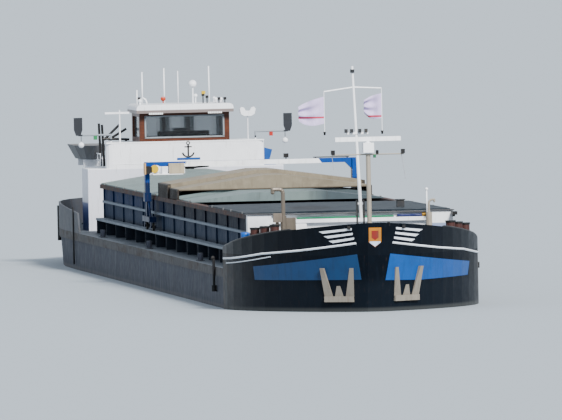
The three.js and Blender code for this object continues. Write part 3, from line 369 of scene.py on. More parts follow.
def bar(path, radius, count, end_radius):
    """Points and faces of a round bar along a path, with flat ends."""
    path = [Vector(p) for p in path]
    last = len(path) - 1
    points = []
    side = None
    for i, point in enumerate(path):
        along = (path[min(i + 1, last)] - path[max(i - 1, 0)]).normalized()
        side = side if side is not None else Vector((0.13, 0.07, 1)).cross(along)
        if side.length < MIN_SIDE:
            side = Vector((1, 0.2, 0)).cross(along)
        side = (side - along * side.dot(along)).normalized()
        other = along.cross(side)
        share = i / last
        size = radius if end_radius is None else radius + (end_radius - radius) * share
        points += [point + (side * math.cos(a) + other * math.sin(a)) * size
                   for a in turns(count)]
    return points, skin(last, count) + ends(last, count)


print("a bar of 2 places and 8 sides has", len(bar([(0, 0, 0), (1, 0, 0)], 1, 8, None)[1]), "faces")

# %% A ball


def globe(place, radius, squash, steps):
    """Points and faces of a ball, which may be squashed in height."""
    place, pole = Vector(place), Vector((0, 0, radius * squash))
    count = 2 * steps
    points = [place + Vector((math.sin(t) * math.cos(a) * radius,
                              math.sin(t) * math.sin(a) * radius,
                              math.cos(t) * radius * squash))
              for t in (math.pi * s / steps for s in range(1, steps)) for a in turns(count)]
    top, bottom, last = len(points), len(points) + 1, (steps - 2) * count
    faces = [(a, d, c, b) for a, b, c, d in skin(steps - 2, count)]
    faces += [(top, n, (n + 1) % count) for n in range(count)]
    faces += [(bottom, last + (n + 1) % count, last + n) for n in range(count)]
    return points + [place + pole, place - pole], faces


print("a ball of 8 steps has", len(globe((0, 0, 0), 1, 1, 8)[0]), "points")


# %% [markdown]
# ## Shapes
# Fittings such as lamps, rails and brackets are boxes, bars and balls. A `Shape` collects them in
# one mesh, with places in real metres, so that a whole group of fittings is one object with one
# finish. That keeps the list of objects short, and the group moves as one with the body it rides
# on.

# %% Shapes
BOX_FACES = [(0, 1, 3, 2), (4, 6, 7, 5), (0, 4, 5, 1), (2, 3, 7, 6), (0, 2, 6, 4), (1, 5, 7, 3)]


def new_object(name, mesh):
    piece = bpy.data.objects.new(name, mesh)
    bpy.context.scene.collection.objects.link(piece)
    return piece


class Shape:
    """Collects simple solids in real metres and makes one object of them."""

    def __init__(self):
        self.mesh = bmesh.new()

    def faces(self, points, faces):
        corners = [self.mesh.verts.new(real(*p)) for p in points]
        for face in faces:
            self.mesh.faces.new([corners[i] for i in face])
        return self

    def box(self, x, y, z):
        points = [(x[i], y[j], z[k]) for i in (0, 1) for j in (0, 1) for k in (0, 1)]
        return self.faces(points, BOX_FACES)

    def tube(self, path, radius, sides=8, end_radius=None):
        return self.faces(*bar(path, radius, sides, end_radius))

    def ball(self, place, radius, squash=1.0, steps=8):
        return self.faces(*globe(place, radius, squash, steps))

    def prism(self, outline, x):
        """An outline of (y, z) points run along X."""
        count = len(outline)
        return self.faces([(end, y, z) for end in x for y, z in outline],
                          skin(1, count) + ends(1, count))

    def make(self, name, material, body="hull", smooth=False):
        bmesh.ops.recalc_face_normals(self.mesh, faces=self.mesh.faces)
        mesh = bpy.data.meshes.new(name)
        self.mesh.to_mesh(mesh)
        self.mesh.free()
        mesh.materials.append(material)
        mesh.polygons.foreach_set("use_smooth", [smooth] * len(mesh.polygons))
        piece = new_object(name, mesh)
        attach(piece, body)
        return piece


print("faces of a box", len(BOX_FACES))


# %% [markdown]
# ## Floor
# The floor stands for the water's surface, so it lies at the waterline and hides the hull below it.
# It is one plain square, far larger than the view, and is only a stage: it belongs to no body.

# %% Floor
WATER_Z = 1.5
FLOOR_HALF = 3000

floor_mesh = bpy.data.meshes.new("floor")
floor_mesh.from_pydata(
    [(x * FLOOR_HALF, y * FLOOR_HALF, WATER_Z * K)
     for x, y in ((-1, -1), (1, -1), (1, 1), (-1, 1))],
    [], [(0, 1, 2, 3)])
floor = new_object("floor", floor_mesh)
floor.data.materials.append(Paint("floor_paint", "a9b1b8", 0.85).done())
floor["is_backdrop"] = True
print("floor at", WATER_Z * K)

# %% [markdown]
# ## Light
# A hazy day has soft shadows and a bright, pale sky. A sun lamp with a wide disc, ahead to port,
# gives the shadows, and a plain sky fills them. Area lamps would also be soft, but on a ship of
# this length they would light the bow more than the stern.

# %% Light
SUN_POWER, SUN_DISC, SUN_COLOR = 9.0, math.radians(14), (1.0, 0.97, 0.92)
SUN_FROM = (0.75, 0.25, 0.62)
SKY, SKY_POWER = "dfe6ee", 1.5

sun_data = bpy.data.lights.new("sun", "SUN")
sun_data.energy, sun_data.angle, sun_data.color = SUN_POWER, SUN_DISC, SUN_COLOR
sun = bpy.data.objects.new("sun", sun_data)
bpy.context.scene.collection.objects.link(sun)
sun.rotation_euler = Vector(SUN_FROM).to_track_quat("Z", "Y").to_euler()

world = bpy.data.worlds.new("sky")
bpy.context.scene.world = world
world.use_nodes = True
background = world.node_tree.nodes["Background"]
background.inputs["Color"].default_value = tint(SKY)
background.inputs["Strength"].default_value = SKY_POWER
print("sun", SUN_POWER, "sky", SKY_POWER)

# %% [markdown]
# ## Hull sides
# The hull is welded steel plate in dark grey paint. Water and quays wear it: pale streaks run down
# from the deck, brown dirt gathers on the strake under the deck edge, and a grey line marks where
# the water stands. The streaks are noise drawn out in height, so they follow the plates at any
# place.

# %% Hull sides
STRAKE_Z = 2.52
DECK_Z = 2.8
WATERMARK = (WATER_Z - 0.1, WATER_Z + 0.12)

side = Paint("hull_side_paint", "454a57", 0.6, shine=0.07)
side.mottle("494c55", 1.4, 0.6).streaks("71757f", 0.14, 1.6, 0.5)
side.streaks("23252c", 0.1, 1.2, 0.6, seed=12.0)
side.streaks("5f4639", 0.05, 0.7, 0.4, seed=7.0, low=0.58, high=0.7)
side.seams("2a2c33", "X", 2.4, 0.02, 0.4)
side.over("5b5856", side.band("Z", STRAKE_Z, DECK_Z + 0.01, 0.015), 0.7)
side.over("46382f", side.both(side.band("Z", STRAKE_Z, DECK_Z, 0.02),
                              side.spots(0.5, 0.45, 0.65, (3, 1, 0.6), seed=5)), 0.7)
side.over("7d7b78", side.band("Z", *WATERMARK, 0.05), 0.35)
side.tops("5f6770")
dress(side.done(bump=0.15, grain=0.3),
      "hull_side_port", "hull_side_starboard", "hull_stern", "hull_bottom", "rudder")
print("hull side, nodes", len(side.tree.nodes))

# %% [markdown]
# ## Bow
# The bow is painted nearly black and kept cleaner than the sides, but it fades to their grey at the
# after end, where the two meet, and lower down. Two paints on two solids would meet in a hard line,
# so the bow's own paint changes along the ship. From the port quarter a brown patch with an upright
# edge still shows there.

# %% Bow
bow = Paint("bow_paint", "030c18", 0.5, shine=0.08)
bow.mottle("08131f", 1.2, 0.6).streaks("16222f", 0.12, 1.1, 0.4)
bow.streaks("4a3a33", 0.05, 0.6, 0.3, seed=3.0, low=0.58, high=0.7)
bow.over("17202b", bow.ramp(bow.axis("Z"), 2.7, 2.2), 0.5)
bow.over("47494c", bow.both(bow.ramp(bow.axis("X"), 29.8, 26.4), bow.ramp(bow.axis("Z"), 3.4, 2.9)),
         0.75)
bow.over("574a40", bow.both(bow.ramp(bow.axis("X"), 28.4, 26.4), bow.spots(0.4, 0.4, 0.6, seed=2)),
         0.5)
bow.over("6f716f", bow.band("Z", *WATERMARK, 0.05), 0.3)
bow.tops("50555a")
dress(bow.done(bump=0.12, grain=0.3), "hull_bow")
print("bow, nodes", len(bow.tree.nodes))

# %% [markdown]
# ## Bulwarks
# The bulwark carries on the bow's dark paint above the deck, with worn places towards its after
# ends. The stern's bulwark is the grey of the sides. It is seen less, so a worn finish of one
# colour does for it.

# %% Bulwarks
rail = Paint("bulwark_paint", "040c17", 0.4, shine=0.1)
rail.mottle("0a1522", 1.0, 0.6).streaks("18222f", 0.1, 0.8, 0.3)
rail.over("3f3c3c", rail.both(rail.ramp(rail.axis("X"), 27.6, 26.3),
                              rail.spots(0.3, 0.3, 0.6, seed=3)), 0.6)
rail.tops("2a313c", 0.7)
dress(rail.done(bump=0.08, grain=0.3), "bow_bulwark")
dress(wear("stern_bulwark_paint", "474c56", rust=0.3), "stern_bulwark")
print("bulwark, nodes", len(rail.tree.nodes))


# %% [markdown]
# ## Finding the bow's plating
# The bow's marks must lie on curved plates. A Shrinkwrap modifier could press them on, but a ray
# cast backward along the ship gives each point's place and its direction at once, and the result is
# plain geometry that stays put.

# %% Finding the bow's plating
DECAL_LIFT = 0.004
OFF_THE_STEM = 36  # X of a place ahead of the ship, where the rays start


def tree_of(*names):
    """A search tree over the faces of some solids."""
    places, faces = [], []
    for name in names:
        mesh = NODES[name].data
        faces += [tuple(len(places) + i for i in p.vertices) for p in mesh.polygons]
        places += [v.co.copy() for v in mesh.vertices]
    return BVHTree.FromPolygons(places, faces)


bow_tree = tree_of("hull_bow", "bow_bulwark")


def on_bow(y, z, lift=DECAL_LIFT):
    """The place on the bow's plating behind a point (y, z) seen from ahead, in real metres."""
    place, normal, _, _ = bow_tree.ray_cast(real(OFF_THE_STEM, y, z), Vector((-1, 0, 0)))
    return place / K + normal * lift


print("the stem at the height of the shield is at X", round(on_bow(0, 3.9).x, 2))


# %% [markdown]
# ## Marks with a thickness
# A few millimetres of paint stand for the stripes, the blue panels and the shield. Each is a flat
# outline, cut into small faces and pressed back along the ship until it meets the plating, and then
# it is lifted a little and given a thickness, so that it is a closed solid like any other piece.

# %% Marks with a thickness
DECAL_STEP = 0.09  # longest edge left in a mark


def small_faces(corners):
    """A flat outline of (y, z) points, cut into small triangles."""
    mesh = bmesh.new()
    mesh.faces.new([mesh.verts.new((0, y, z)) for y, z in corners])
    bmesh.ops.triangulate(mesh, faces=mesh.faces)
    while True:
        long_edges = [e for e in mesh.edges if e.calc_length() > DECAL_STEP]
        if not long_edges:
            return mesh
        bmesh.ops.subdivide_edges(mesh, edges=long_edges, cuts=1)
        bmesh.ops.triangulate(mesh, faces=mesh.faces)


def decal(name, corners, material):
    """A mark on the bow, with the given outline as seen from ahead."""
    mesh = small_faces(corners)
    order = list(mesh.verts)
    index = {v: i for i, v in enumerate(order)}
    count = len(order)
    faces = [tuple(index[v] for v in f.verts) for f in mesh.faces]
    rim = [(index[e.verts[0]], index[e.verts[1]]) for e in mesh.edges if e.is_boundary]
    points = [on_bow(v.co.y, v.co.z, lift) for lift in (DECAL_LIFT, -DECAL_LIFT) for v in order]
    mesh.free()
    shape = Shape().faces(points, faces + [tuple(i + count for i in reversed(f)) for f in faces]
                          + [(a, b, b + count, a + count) for a, b in rim])
    return shape.make(name, material)


print("marks are", 2 * DECAL_LIFT, "real metres thick")

# %% [markdown]
# ## Stripes, panels and shield
# Three white stripes run round each side of the stem, blue panels fill the place below, and a small
# shield stands on the stem itself. All of them are plain fields of one colour, so a flat outline is
# enough for each, and its corners can be read straight off the photograph's front view.

# %% Stripes
STRIPES = [  # outer y, z and inner y, z of each stripe's middle, starboard side
    (-1.66, 4.03, -0.71, 4.14), (-1.52, 3.88, -0.68, 3.99), (-1.38, 3.73, -0.64, 3.84)]
STRIPE_HALF = 0.032
STRIPE_SLANT = 0.12  # how much further in the lower corner of a stripe's outer end is

white_band = wear("white_band_paint", "dfe4ea", 0.5, amount=0.15)
for side_y, side_name in ((1, "starboard"), (-1, "port")):
    for number, (y0, z0, y1, z1) in enumerate(STRIPES):
        stripe = decal("bow_stripe_%s_%d" % (side_name, number + 1), [
            (side_y * y0, z0 + STRIPE_HALF), (side_y * (y0 + STRIPE_SLANT), z0 - STRIPE_HALF),
            (side_y * y1, z1 - STRIPE_HALF), (side_y * y1, z1 + STRIPE_HALF)], white_band)
print("last stripe", size_of(stripe))

# %% Panels
blue_panel = wear("blue_panel_paint", "00559c", 0.45, dirt="003a70", amount=0.35)
# The starboard panel is the port panel's blue made darker. That is painted shade, for the side of
# the bow that faces away from the sun, and the port panel's blue is the lit one.
shaded_blue_panel = wear("shaded_blue_panel_paint", "00406e", 0.5, dirt="002a4c", amount=0.35)
panel = decal("name_panel_starboard", [(-3.46, 2.93), (-0.55, 3.34), (-0.42, 2.53), (-3.42, 2.5)],
              shaded_blue_panel)
print("starboard panel", size_of(panel))
panel = decal("name_panel_port", [(0.5, 3.34), (3.5, 2.93), (3.42, 2.5), (1.59, 2.46), (0.34, 2.5)],
              blue_panel)
print("port panel", size_of(panel))

# %% Shield
ON_TOP = 0.002  # how far the shield's two inner marks stand ahead of its field
shield = decal("shield_field", [(-0.2, 4.18), (0.2, 4.18), (0.2, 3.72), (0.0, 3.56), (-0.2, 3.72)],
               wear("shield_yellow", "b97f00", 0.5))
for name, outline, paint in (
        ("shield_centre", [(-0.11, 4.08), (0.11, 4.08), (0.11, 3.86), (0, 3.78), (-0.11, 3.86)],
         wear("shield_red", "8e1a10", 0.5)),
        ("shield_base", [(-0.17, 3.74), (0.17, 3.74), (0.17, 3.7), (0.0, 3.58), (-0.17, 3.7)],
         wear("shield_pale", "c9d6ea", 0.5))):
    decal(name, outline, paint).location.x += ON_TOP
print("shield", size_of(shield))


# %% [markdown]
# ## Mouldings of the bow
# A round bar is welded along the bow where the plating turns, and a shorter one lies below it to
# starboard. A curve with a bevel would do for it, but its points still have to be found on the
# plating. So the bar follows points cast on the bow, and it is built like every other bar here.

# %% Mouldings of the bow
MOULDING = [(-4.09, 3.13), (-3.23, 3.34), (-2.19, 3.46), (-1.34, 3.58), (-0.58, 3.69)]
MOULDING_IN = 0.999  # keeps the outer end on the plating
LOWER_MOULDING = ((-4.06, 2.99), (1.06, 0.26))  # y and z of its start, and how far it runs
STEPS = 8


def along_bow(points):
    """Places on the bow between the given (y, z) points."""
    path = []
    for (y0, z0), (y1, z1) in zip(points, points[1:]):
        path += [on_bow(y0 + (y1 - y0) * s / STEPS, z0 + (z1 - z0) * s / STEPS, 0.01)
                 for s in range(STEPS)]
    return path + [on_bow(*points[-1], 0.01)]


moulding = Shape()
for side_y in SIDES:
    moulding.tube(along_bow([(side_y * y * MOULDING_IN, z) for y, z in MOULDING]), 0.035, 6)
print("mouldings", size_of(moulding.make("bow_moulding", white_band)))
(y0, z0), (dy, dz) = LOWER_MOULDING
second = [on_bow(y0 + dy * s / STEPS, z0 + dz * s / STEPS, 0.008) for s in range(STEPS + 1)]
print("lower one", size_of(Shape().tube(second, 0.018, 6).make("lower_moulding", white_band)))

# %% [markdown]
# ## Coaming
# The coaming is rusty along its rail, dark blue on its upper panel and blue-grey below, with pale
# ledges. All of it is one paint with colours that change with height, because that is how it was
# rolled on, and the borders then stay level along the whole hold.

# %% Coaming
TOP_RAIL = ("Z", 4.35, 4.53, 0.02)
coaming = Paint("coaming_paint", "101c30", 0.6, shine=0.04)
coaming.over("0f3464", coaming.ramp(coaming.axis("X"), 8, -8), 0.8).mottle("182436", 0.8, 0.4)
coaming.streaks("4a3a35", 0.08, 0.7, 0.5, seed=5.0, low=0.55, high=0.7)
coaming.over("2a3c55", coaming.ramp(coaming.axis("Z"), 3.92, 3.86), 0.85)
coaming.streaks("4a586a", 0.1, 0.5, 0.25, seed=15.0)
coaming.over("1a2431", coaming.ramp(coaming.axis("Z"), 3.5, 3.34), 0.6)
coaming.over("8b949e", coaming.band("Z", 3.86, 3.95, 0.01), 0.9)
coaming.over("4f4443", coaming.band(*TOP_RAIL), 0.95)
coaming.over("5f4336", coaming.both(coaming.band(*TOP_RAIL),
                                    coaming.spots(0.4, 0.45, 0.6, (2, 1, 1), seed=8)), 0.8)
dress(coaming.done(bump=0.15), "coaming_port", "coaming_starboard", "coaming_aft")
print("coaming, nodes", len(coaming.tree.nodes))

# %% Ledges and the front wall of the hold
ledge = Paint("ledge_paint", "8a939c", 0.6, shine=0.1)
ledge.mottle("606a73", 0.5, 0.5).streaks("6a5446", 0.1, 0.5, 0.4, low=0.55, high=0.7)
# Below Z 3.22 the ledges turn dark navy. This is painted shade of the recess under them.
ledge.over("141f30", ledge.ramp(ledge.axis("Z"), 3.26, 3.22), 0.93)
dress(ledge.done(bump=0.12), "coaming_ledge_port", "coaming_ledge_starboard")

front = Paint("front_paint", "e3e6ea", 0.5)
front.mottle("c3c5c8", 0.6, 0.35).streaks("9b8068", 0.05, 0.5, 0.3, low=0.58, high=0.7)
front.over("5c79a8", front.both(front.band("Y", 2.63, 3.2), front.band("Z", 3.9, 4.11)), 0.8)
dress(front.done(bump=0.1), "coaming_front")
print("ledges and front wall, nodes", len(ledge.tree.nodes), len(front.tree.nodes))

# %% [markdown]
# ## Hatch covers
# The covers are folded sheet. The after ones are dull and pale, dirt lies along their joints, the
# third is lighter to starboard and darker to port as painted light and shade, and the two foremost
# are nearly slate, with a dark patch.
# Each cover could have a material of its own, but one paint that changes along the ship keeps the
# row of a piece.

# %% Hatch covers
cover = Paint("cover_paint", "7d8b8a", 0.55, shine=0.1)
third = cover.ramp(cover.axis("X"), 4.4, 6.2)
# From the third cover forward, the starboard side keeps a pale grey and the port side turns dark
# slate. This is painted light and shade, with the port side in shade.
cover.over("7b898b", cover.both(third, cover.ramp(cover.axis("Y"), 0.6, -0.6)), 0.8)
cover.over("3c4854", cover.both(third, cover.ramp(cover.axis("Y"), 0.4, 1.4)), 0.8)
cover.over("1d2833", cover.ramp(cover.axis("X"), 12.4, 12.8))
cover.mottle("414e52", 1.2, 0.25).mottle("808d8d", 0.5, 0.08, seed=6.0)
cover.streaks("4c4f4c", 0.2, 1.5, 0.35)
DARK_PATCH = (22.0, -0.75, 2.2, 0.75)  # x and y of the dark patch's middle, then its half length and width
along = cover.math("DIVIDE", cover.math("ADD", cover.axis("X"), -DARK_PATCH[0]), DARK_PATCH[2])
across = cover.math("DIVIDE", cover.math("ADD", cover.axis("Y"), -DARK_PATCH[1]), DARK_PATCH[3])
dark_patch = cover.math("ADD", cover.both(along, along), cover.both(across, across))
cover.over("0c0a10", cover.ramp(dark_patch, 1.0, 0.7), 0.85)
cover.seams("39403f", "X", 1.31, 0.03, 0.5)
dress(cover.done(bump=0.12), *["hatch_cover_%d" % n for n in range(1, 8)], "stacked_cover_1")
print("covers, nodes", len(cover.tree.nodes))

# %% Stacked covers
stack = Paint("stack_paint", "8a8272", 0.6, shine=0.25)
stack.mottle("766d5d", 0.7, 0.6).mottle("9d9584", 0.3, 0.4, seed=3.0)
stack.streaks("6d6353", 0.1, 0.6, 0.4)
stack.over("35281f", stack.both(stack.ramp(stack.axis("Z"), 4.86, 4.8),
                                stack.spots(0.3, 0.1, 0.4, seed=8)), 0.9)
stack.over("2a221d", stack.both(stack.ramp(stack.across(), 3.2, 3.24),
                                stack.spots(0.3, 0.3, 0.4, seed=4)), 0.9)
dress(stack.done(bump=0.12), "stacked_cover_2", "stacked_cover_3")
print("stack, nodes", len(stack.tree.nodes))

# %% [markdown]
# ## White houses
# The deckhouse and lower house are white gloss paint with thin brown runs under their edges, blue
# along the sides at deck level, and one orange float on the roof. These marks lie on solids that
# the frame already has, so they are masks by place, and nothing is laid over the walls. The blue
# also asks which way a face looks, in the world's directions, so the foot of the cabin door turns
# blue when the door swings open. A mask by place alone wouldn't.

# %% White houses
house = Paint("house_paint", "e9ebef", 0.4)
house.mottle("d9dbe0", 1.0, 0.5).streaks("9a948a", 0.06, 0.6, 0.3, low=0.56, high=0.7)
# Below Z 4.92 the white is greyed with lilac. This is painted shade on the lower house's walls.
house.over("a9aec2", house.ramp(house.axis("Z"), 4.96, 4.92), 0.45)
outboard = house.ramp(house.math("ABSOLUTE", house.facing.outputs["Y"]), 0.5, 0.7)
house.over("0d418a", house.both(outboard, house.ramp(house.axis("Z"), 3.82, 3.74)), 0.95)
house.over("b8430f", house.both(house.band("Y", -0.78, -0.48, 0.01),
                                house.band("Z", 7.2, 7.5, 0.01)))
house.over("5f4030", house.both(house.band("Z", 6.8, 6.98, 0.01),
                                house.ramp(house.across(), 1.74, 1.72)), 0.85)
house.tops("c3c6c9", 0.6)
dress(house.done(bump=0.05), "lower_house", "lower_house_roof", "cabin_door", "deckhouse",
      "deckhouse_roof", "wheelhouse_roof")
print("houses, nodes", len(house.tree.nodes))

# %% [markdown]
# ## Wheelhouse
# The wheelhouse is varnished timber, and its boards are drawn by thin dark lines across the height.
# The side boards are dark below a white edge. Window glass lets light through and also mirrors the
# sky, so it is a Principled shader with transmission and some alpha, which stays quick to render.

# %% Wheelhouse
timber = Paint("timber", "5e2f18", 0.4)
timber.mottle("743d20", 0.25, 0.6).streaks("381c0e", 0.06, 0.5, 0.5)
timber.seams("2a1812", "Z", 0.12, 0.012, 0.6)
dress(timber.done(bump=0.15), "wheelhouse", "wheelhouse_door")

boards = Paint("side_board_paint", "252a33", 0.55)
boards.mottle("363b45", 0.3, 0.5).over("e4e6ea", boards.ramp(boards.axis("Z"), 5.93, 5.91))
boards.over("969da4", boards.both(boards.band("Z", 6.0, 6.3, 0.01),
                                  boards.ramp(boards.across(), 3.56, 3.54)))
dress(boards.done(bump=0.08), "side_board_port", "side_board_starboard")

glass = Paint("window_glass", "3a444b", 0.06, shine=0.5)
glass.shader.inputs["Transmission Weight"].default_value = 0.9
dress(glass.mottle("465158", 0.8, 0.3).done(rough_spread=0.02, alpha=0.62), "wheelhouse_glass")
print("timber, boards and glass, nodes", [len(p.tree.nodes) for p in (timber, boards, glass)])

# %% [markdown]
# ## Gantry and masts
# The gantry is bright blue, darker towards its feet, under a white casing. The masts are white, but
# the radar's column is beige below its head. Where a finish changes on one solid, it is a mask
# again.

# %% Gantry and masts
gantry = Paint("gantry_paint", "06224a", 0.4, shine=0.12)
gantry.over("004f9e", gantry.ramp(gantry.axis("Z"), 4.9, 5.0), 0.9).mottle("16305c", 0.5, 0.35)
gantry.streaks("5d4a40", 0.05, 0.5, 0.3, low=0.58, high=0.7)
dress(gantry.done(bump=0.1), "gantry_frame")

beige_gear = Paint("beige_gear_paint", "a39d92", 0.55)
beige_gear.mottle("8a8479", 0.5, 0.4).streaks("6f5c49", 0.06, 0.6, 0.4, low=0.56, high=0.7)
beige_gear.over("ebedf0", beige_gear.both(beige_gear.ramp(beige_gear.axis("X"), 30.5, 31),
                                          beige_gear.ramp(beige_gear.axis("Z"), 6.48, 6.52)))
dress(beige_gear.done(bump=0.1), "radar_column", "bow_vent_port")
print("gantry and radar column, nodes", len(gantry.tree.nodes), len(beige_gear.tree.nodes))

# %% [markdown]
# ## Deck gear
# The rest of the solids are small: bollards of red oxide, steel vents, rubber fenders, a bronze
# propeller. At their size a worn finish of one colour each is enough, with its roughness and its
# metal share set for the stuff it is made of.

# %% Deck gear
dress(wear("dark_paint", "1d1f23", 0.55), "helm", "mast_post",
      *["gantry_wheel_%s" % place for place in (
          "fore_port", "aft_port", "fore_starboard", "aft_starboard")])
dress(wear("white_gear_paint", "eceef1", 0.4, amount=0.2),
      "gantry_winch_box", "flag_mast", "radar_scanner")
dress(wear("anchor_paint", "8d887f", 0.65, dirt="565048", rust=0.25),
      "anchor_port", "anchor_starboard")
dress(wear("vent_steel", "7c746a", 0.45, metallic=0.3), "bow_vent_starboard")
dress(wear("deck_gear_paint", "858a90", 0.5, rust=0.2), "anchor_windlass")
dress(wear("bollard_paint", "4d2a26", 0.55, dirt="241c1c"),
      "bow_bollards_port", "bow_bollards_starboard")
dress(wear("dinghy_skin", "6a6c70", 0.6), "dinghy")
dress(wear("fender_rubber", "232428", 0.8), "fender_port", "fender_starboard")
dress(wear("flag_cloth", "dcd7e4", 0.9), "flag_port", "flag_starboard")
dress(wear("bronze", "a8823f", 0.35, metallic=0.9), "propeller")
print("solids without a material", [n for n, o in NODES.items() if not o.data.materials])


# %% [markdown]
# ## Rail of the bulwark
# The bulwark ends in a welded pipe that a hand can hold. Its edge curves in two directions, so no
# circle fits it. Instead a ray looks outward from the foredeck at each angle, a second one looks
# down on the edge that the first has met, and the pipe runs through the places found.

# %% Rail of the bulwark
RAIL_EYE = (28.2, 3.45)  # x and z of the place on the centre line that looks outward
RAIL_SPAN, RAIL_STEP = 112, 4  # degrees each way from the stem, and from one place to the next
INTO_PLATE = 0.035  # from the bulwark's inner face to where its top is looked for
HIGH_UP = 3  # model metres, above everything at the bow

black = wear("black_paint", "17181a", 0.45, dirt="35322f", amount=0.25)


def bulwark_edge(angle):
    """The middle of the bulwark's top edge in a direction from the foredeck's middle."""
    eye = real(RAIL_EYE[0], 0, RAIL_EYE[1])
    out = Vector((math.cos(angle), math.sin(angle), 0))
    wall, _, _, _ = bow_tree.ray_cast(eye, out)
    above = wall + out * INTO_PLATE * K
    top, _, _, _ = bow_tree.ray_cast(Vector((above.x, above.y, HIGH_UP)), Vector((0, 0, -1)))
    return top / K


edge = [bulwark_edge(math.radians(a)) for a in range(-RAIL_SPAN, RAIL_SPAN + 1, RAIL_STEP)]
bow_rail = Shape().tube([p + Vector((0, 0, 0.01)) for p in edge], 0.042, 8)
print("bow rail", size_of(bow_rail.make("bow_rail", black, smooth=True)))

# %% [markdown]
# ## Bollard caps and fairleads
# Each bollard has a black cap and a black ring at its foot, and three small fairleads sit on the
# bulwark. The bollards are the frame's, so the caps only have to follow their row, which leans
# inward and rises towards the stem.

# %% Bollard caps and fairleads
BOLLARD_X, BOLLARD_TOP, BOLLARD_FOOT = 28.5, 4.17, 3.4
BOLLARD_Y = {1: 3.22, -1: 2.99}  # the middle one's distance from the centre line, by side
BOLLARD_STEP = (0.36, 0.276, 0.05)  # ahead, inward and up from one bollard to the next

caps = Shape()
for side_y in SIDES:
    for step in (-1, 0, 1):
        x = BOLLARD_X + BOLLARD_STEP[0] * step
        y = side_y * (BOLLARD_Y[side_y] - step * BOLLARD_STEP[1])
        top = BOLLARD_TOP + BOLLARD_STEP[2] * step
        caps.tube([(x, y, top - 0.04), (x, y, top + 0.02)], 0.172, 20)
        caps.tube([(x, y, BOLLARD_FOOT), (x, y, BOLLARD_FOOT + 0.06)], 0.162, 20)
print("caps", size_of(caps.make("bollard_caps", black)))

fairleads = Shape()
for x, y, z in (((32.55, 32.67), (-0.84, -0.74), (4.12, 4.24)),
                ((32.75, 32.85), (0.42, 0.5), (4.22, 4.34)),
                ((32.5, 32.62), (0.92, 1.02), (4.12, 4.24))):
    fairleads.box(x, y, z)
print("fairleads", size_of(fairleads.make("bow_fairleads", black)))

# %% [markdown]
# ## Lockers and the front of the hold
# White lockers stand at the after end of the foredeck, and a dark strip tops the hold's front wall
# and its two cabinets. They look like plain sheet-metal boxes in the photograph, so boxes are what
# they are here.

# %% Lockers and the front of the hold
FOREDECK_Z = 3.3
white_gloss = wear("white_gloss", "eceef1", 0.35, amount=0.15)
lockers = Shape()
lockers.box((26.9, 27.35), (-1.95, -1.5), (FOREDECK_Z, 4.2))
lockers.box((26.9, 27.3), (-1.45, 0.6), (FOREDECK_Z, 3.98))
print("lockers", size_of(lockers.make("foredeck_lockers", white_gloss)))

cornice = Shape()
for side_y in SIDES:
    cornice.box((26.22, 26.66), sorted((side_y * 2.5, side_y * 3.36)), (4.5, 4.53))
cornice.box((26.205, 26.34), (-2.5, 2.5), (4.47, 4.5))
cornice = cornice.make("front_cornice", wear("cornice_paint", "47484c", 0.6))
print("cornice", size_of(cornice))

# %% [markdown]
# ## Lugs on the covers
# The gantry lifts each cover by four small lugs along its edges. Their places come from the covers'
# own boxes, which the frame knows, so they stay right if a cover changes. The fourth cover is under
# the stack, and its lugs don't show.

# %% Lugs on the covers
LUG_HALF, LUG_WIDE, LUG_Z = 0.12, 0.04, (4.5, 4.56)
steel = wear("bare_steel", "8d8a84", 0.35, metallic=0.6, amount=0.3)
lugs = Shape()
for number in (1, 2, 3, 5, 6, 7):
    low, high = (Vector(v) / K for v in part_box("hatch_cover_%d" % number))
    for share in (0.2, 0.8):
        x = low.x + (high.x - low.x) * share
        for y in (low.y - 0.01, high.y - 0.03):
            lugs.box((x - LUG_HALF, x + LUG_HALF), (y, y + LUG_WIDE), LUG_Z)
print("lugs", size_of(lugs.make("cover_lugs", steel)))

# %% [markdown]
# ## The gantry's machinery
# At its starboard end the gantry carries the winch, a yellow drum beside a black motor, with a
# beige switch cabinet and a dark drag chain behind them. Each is a piece of its own, because each
# has its own finish, and all of them ride on the gantry's body, so they travel with it.

# %% Winch
GANTRY_X = -0.9


def gantry_x(*xs):
    """Places along the ship, counted from the gantry's middle."""
    return tuple(GANTRY_X + x for x in xs)


yellow = wear("yellow_paint", "d0b400", 0.4, dirt="6e6010")
beige = wear("beige_paint", "b5ab97", 0.55)
cream = wear("cream_paint", "c9a877", 0.5)
drum = Shape().tube([(x, -3.31, 5.4) for x in gantry_x(0.4, 0.47)], 0.135, 24)
motor = Shape().box(gantry_x(0.2, 0.5), (-3.62, -3.46), (5.24, 5.5))
motor.box(gantry_x(0.16, 0.48), (-3.56, -3.4), (5.27, 5.47))
plate = Shape().box(gantry_x(0.1, 0.52), (-3.65, -3.61), (5.22, 5.6))
cabinet = Shape().box(gantry_x(0.17, 0.47), (-2.82, -2.3), (5.23, 5.58))
for shape, name, paint in ((drum, "winch_drum", yellow), (motor, "winch_motor", black),
                           (plate, "winch_end_plate", cream), (cabinet, "switch_cabinet", beige)):
    print(name, size_of(shape.make(name, paint, "gantry")))

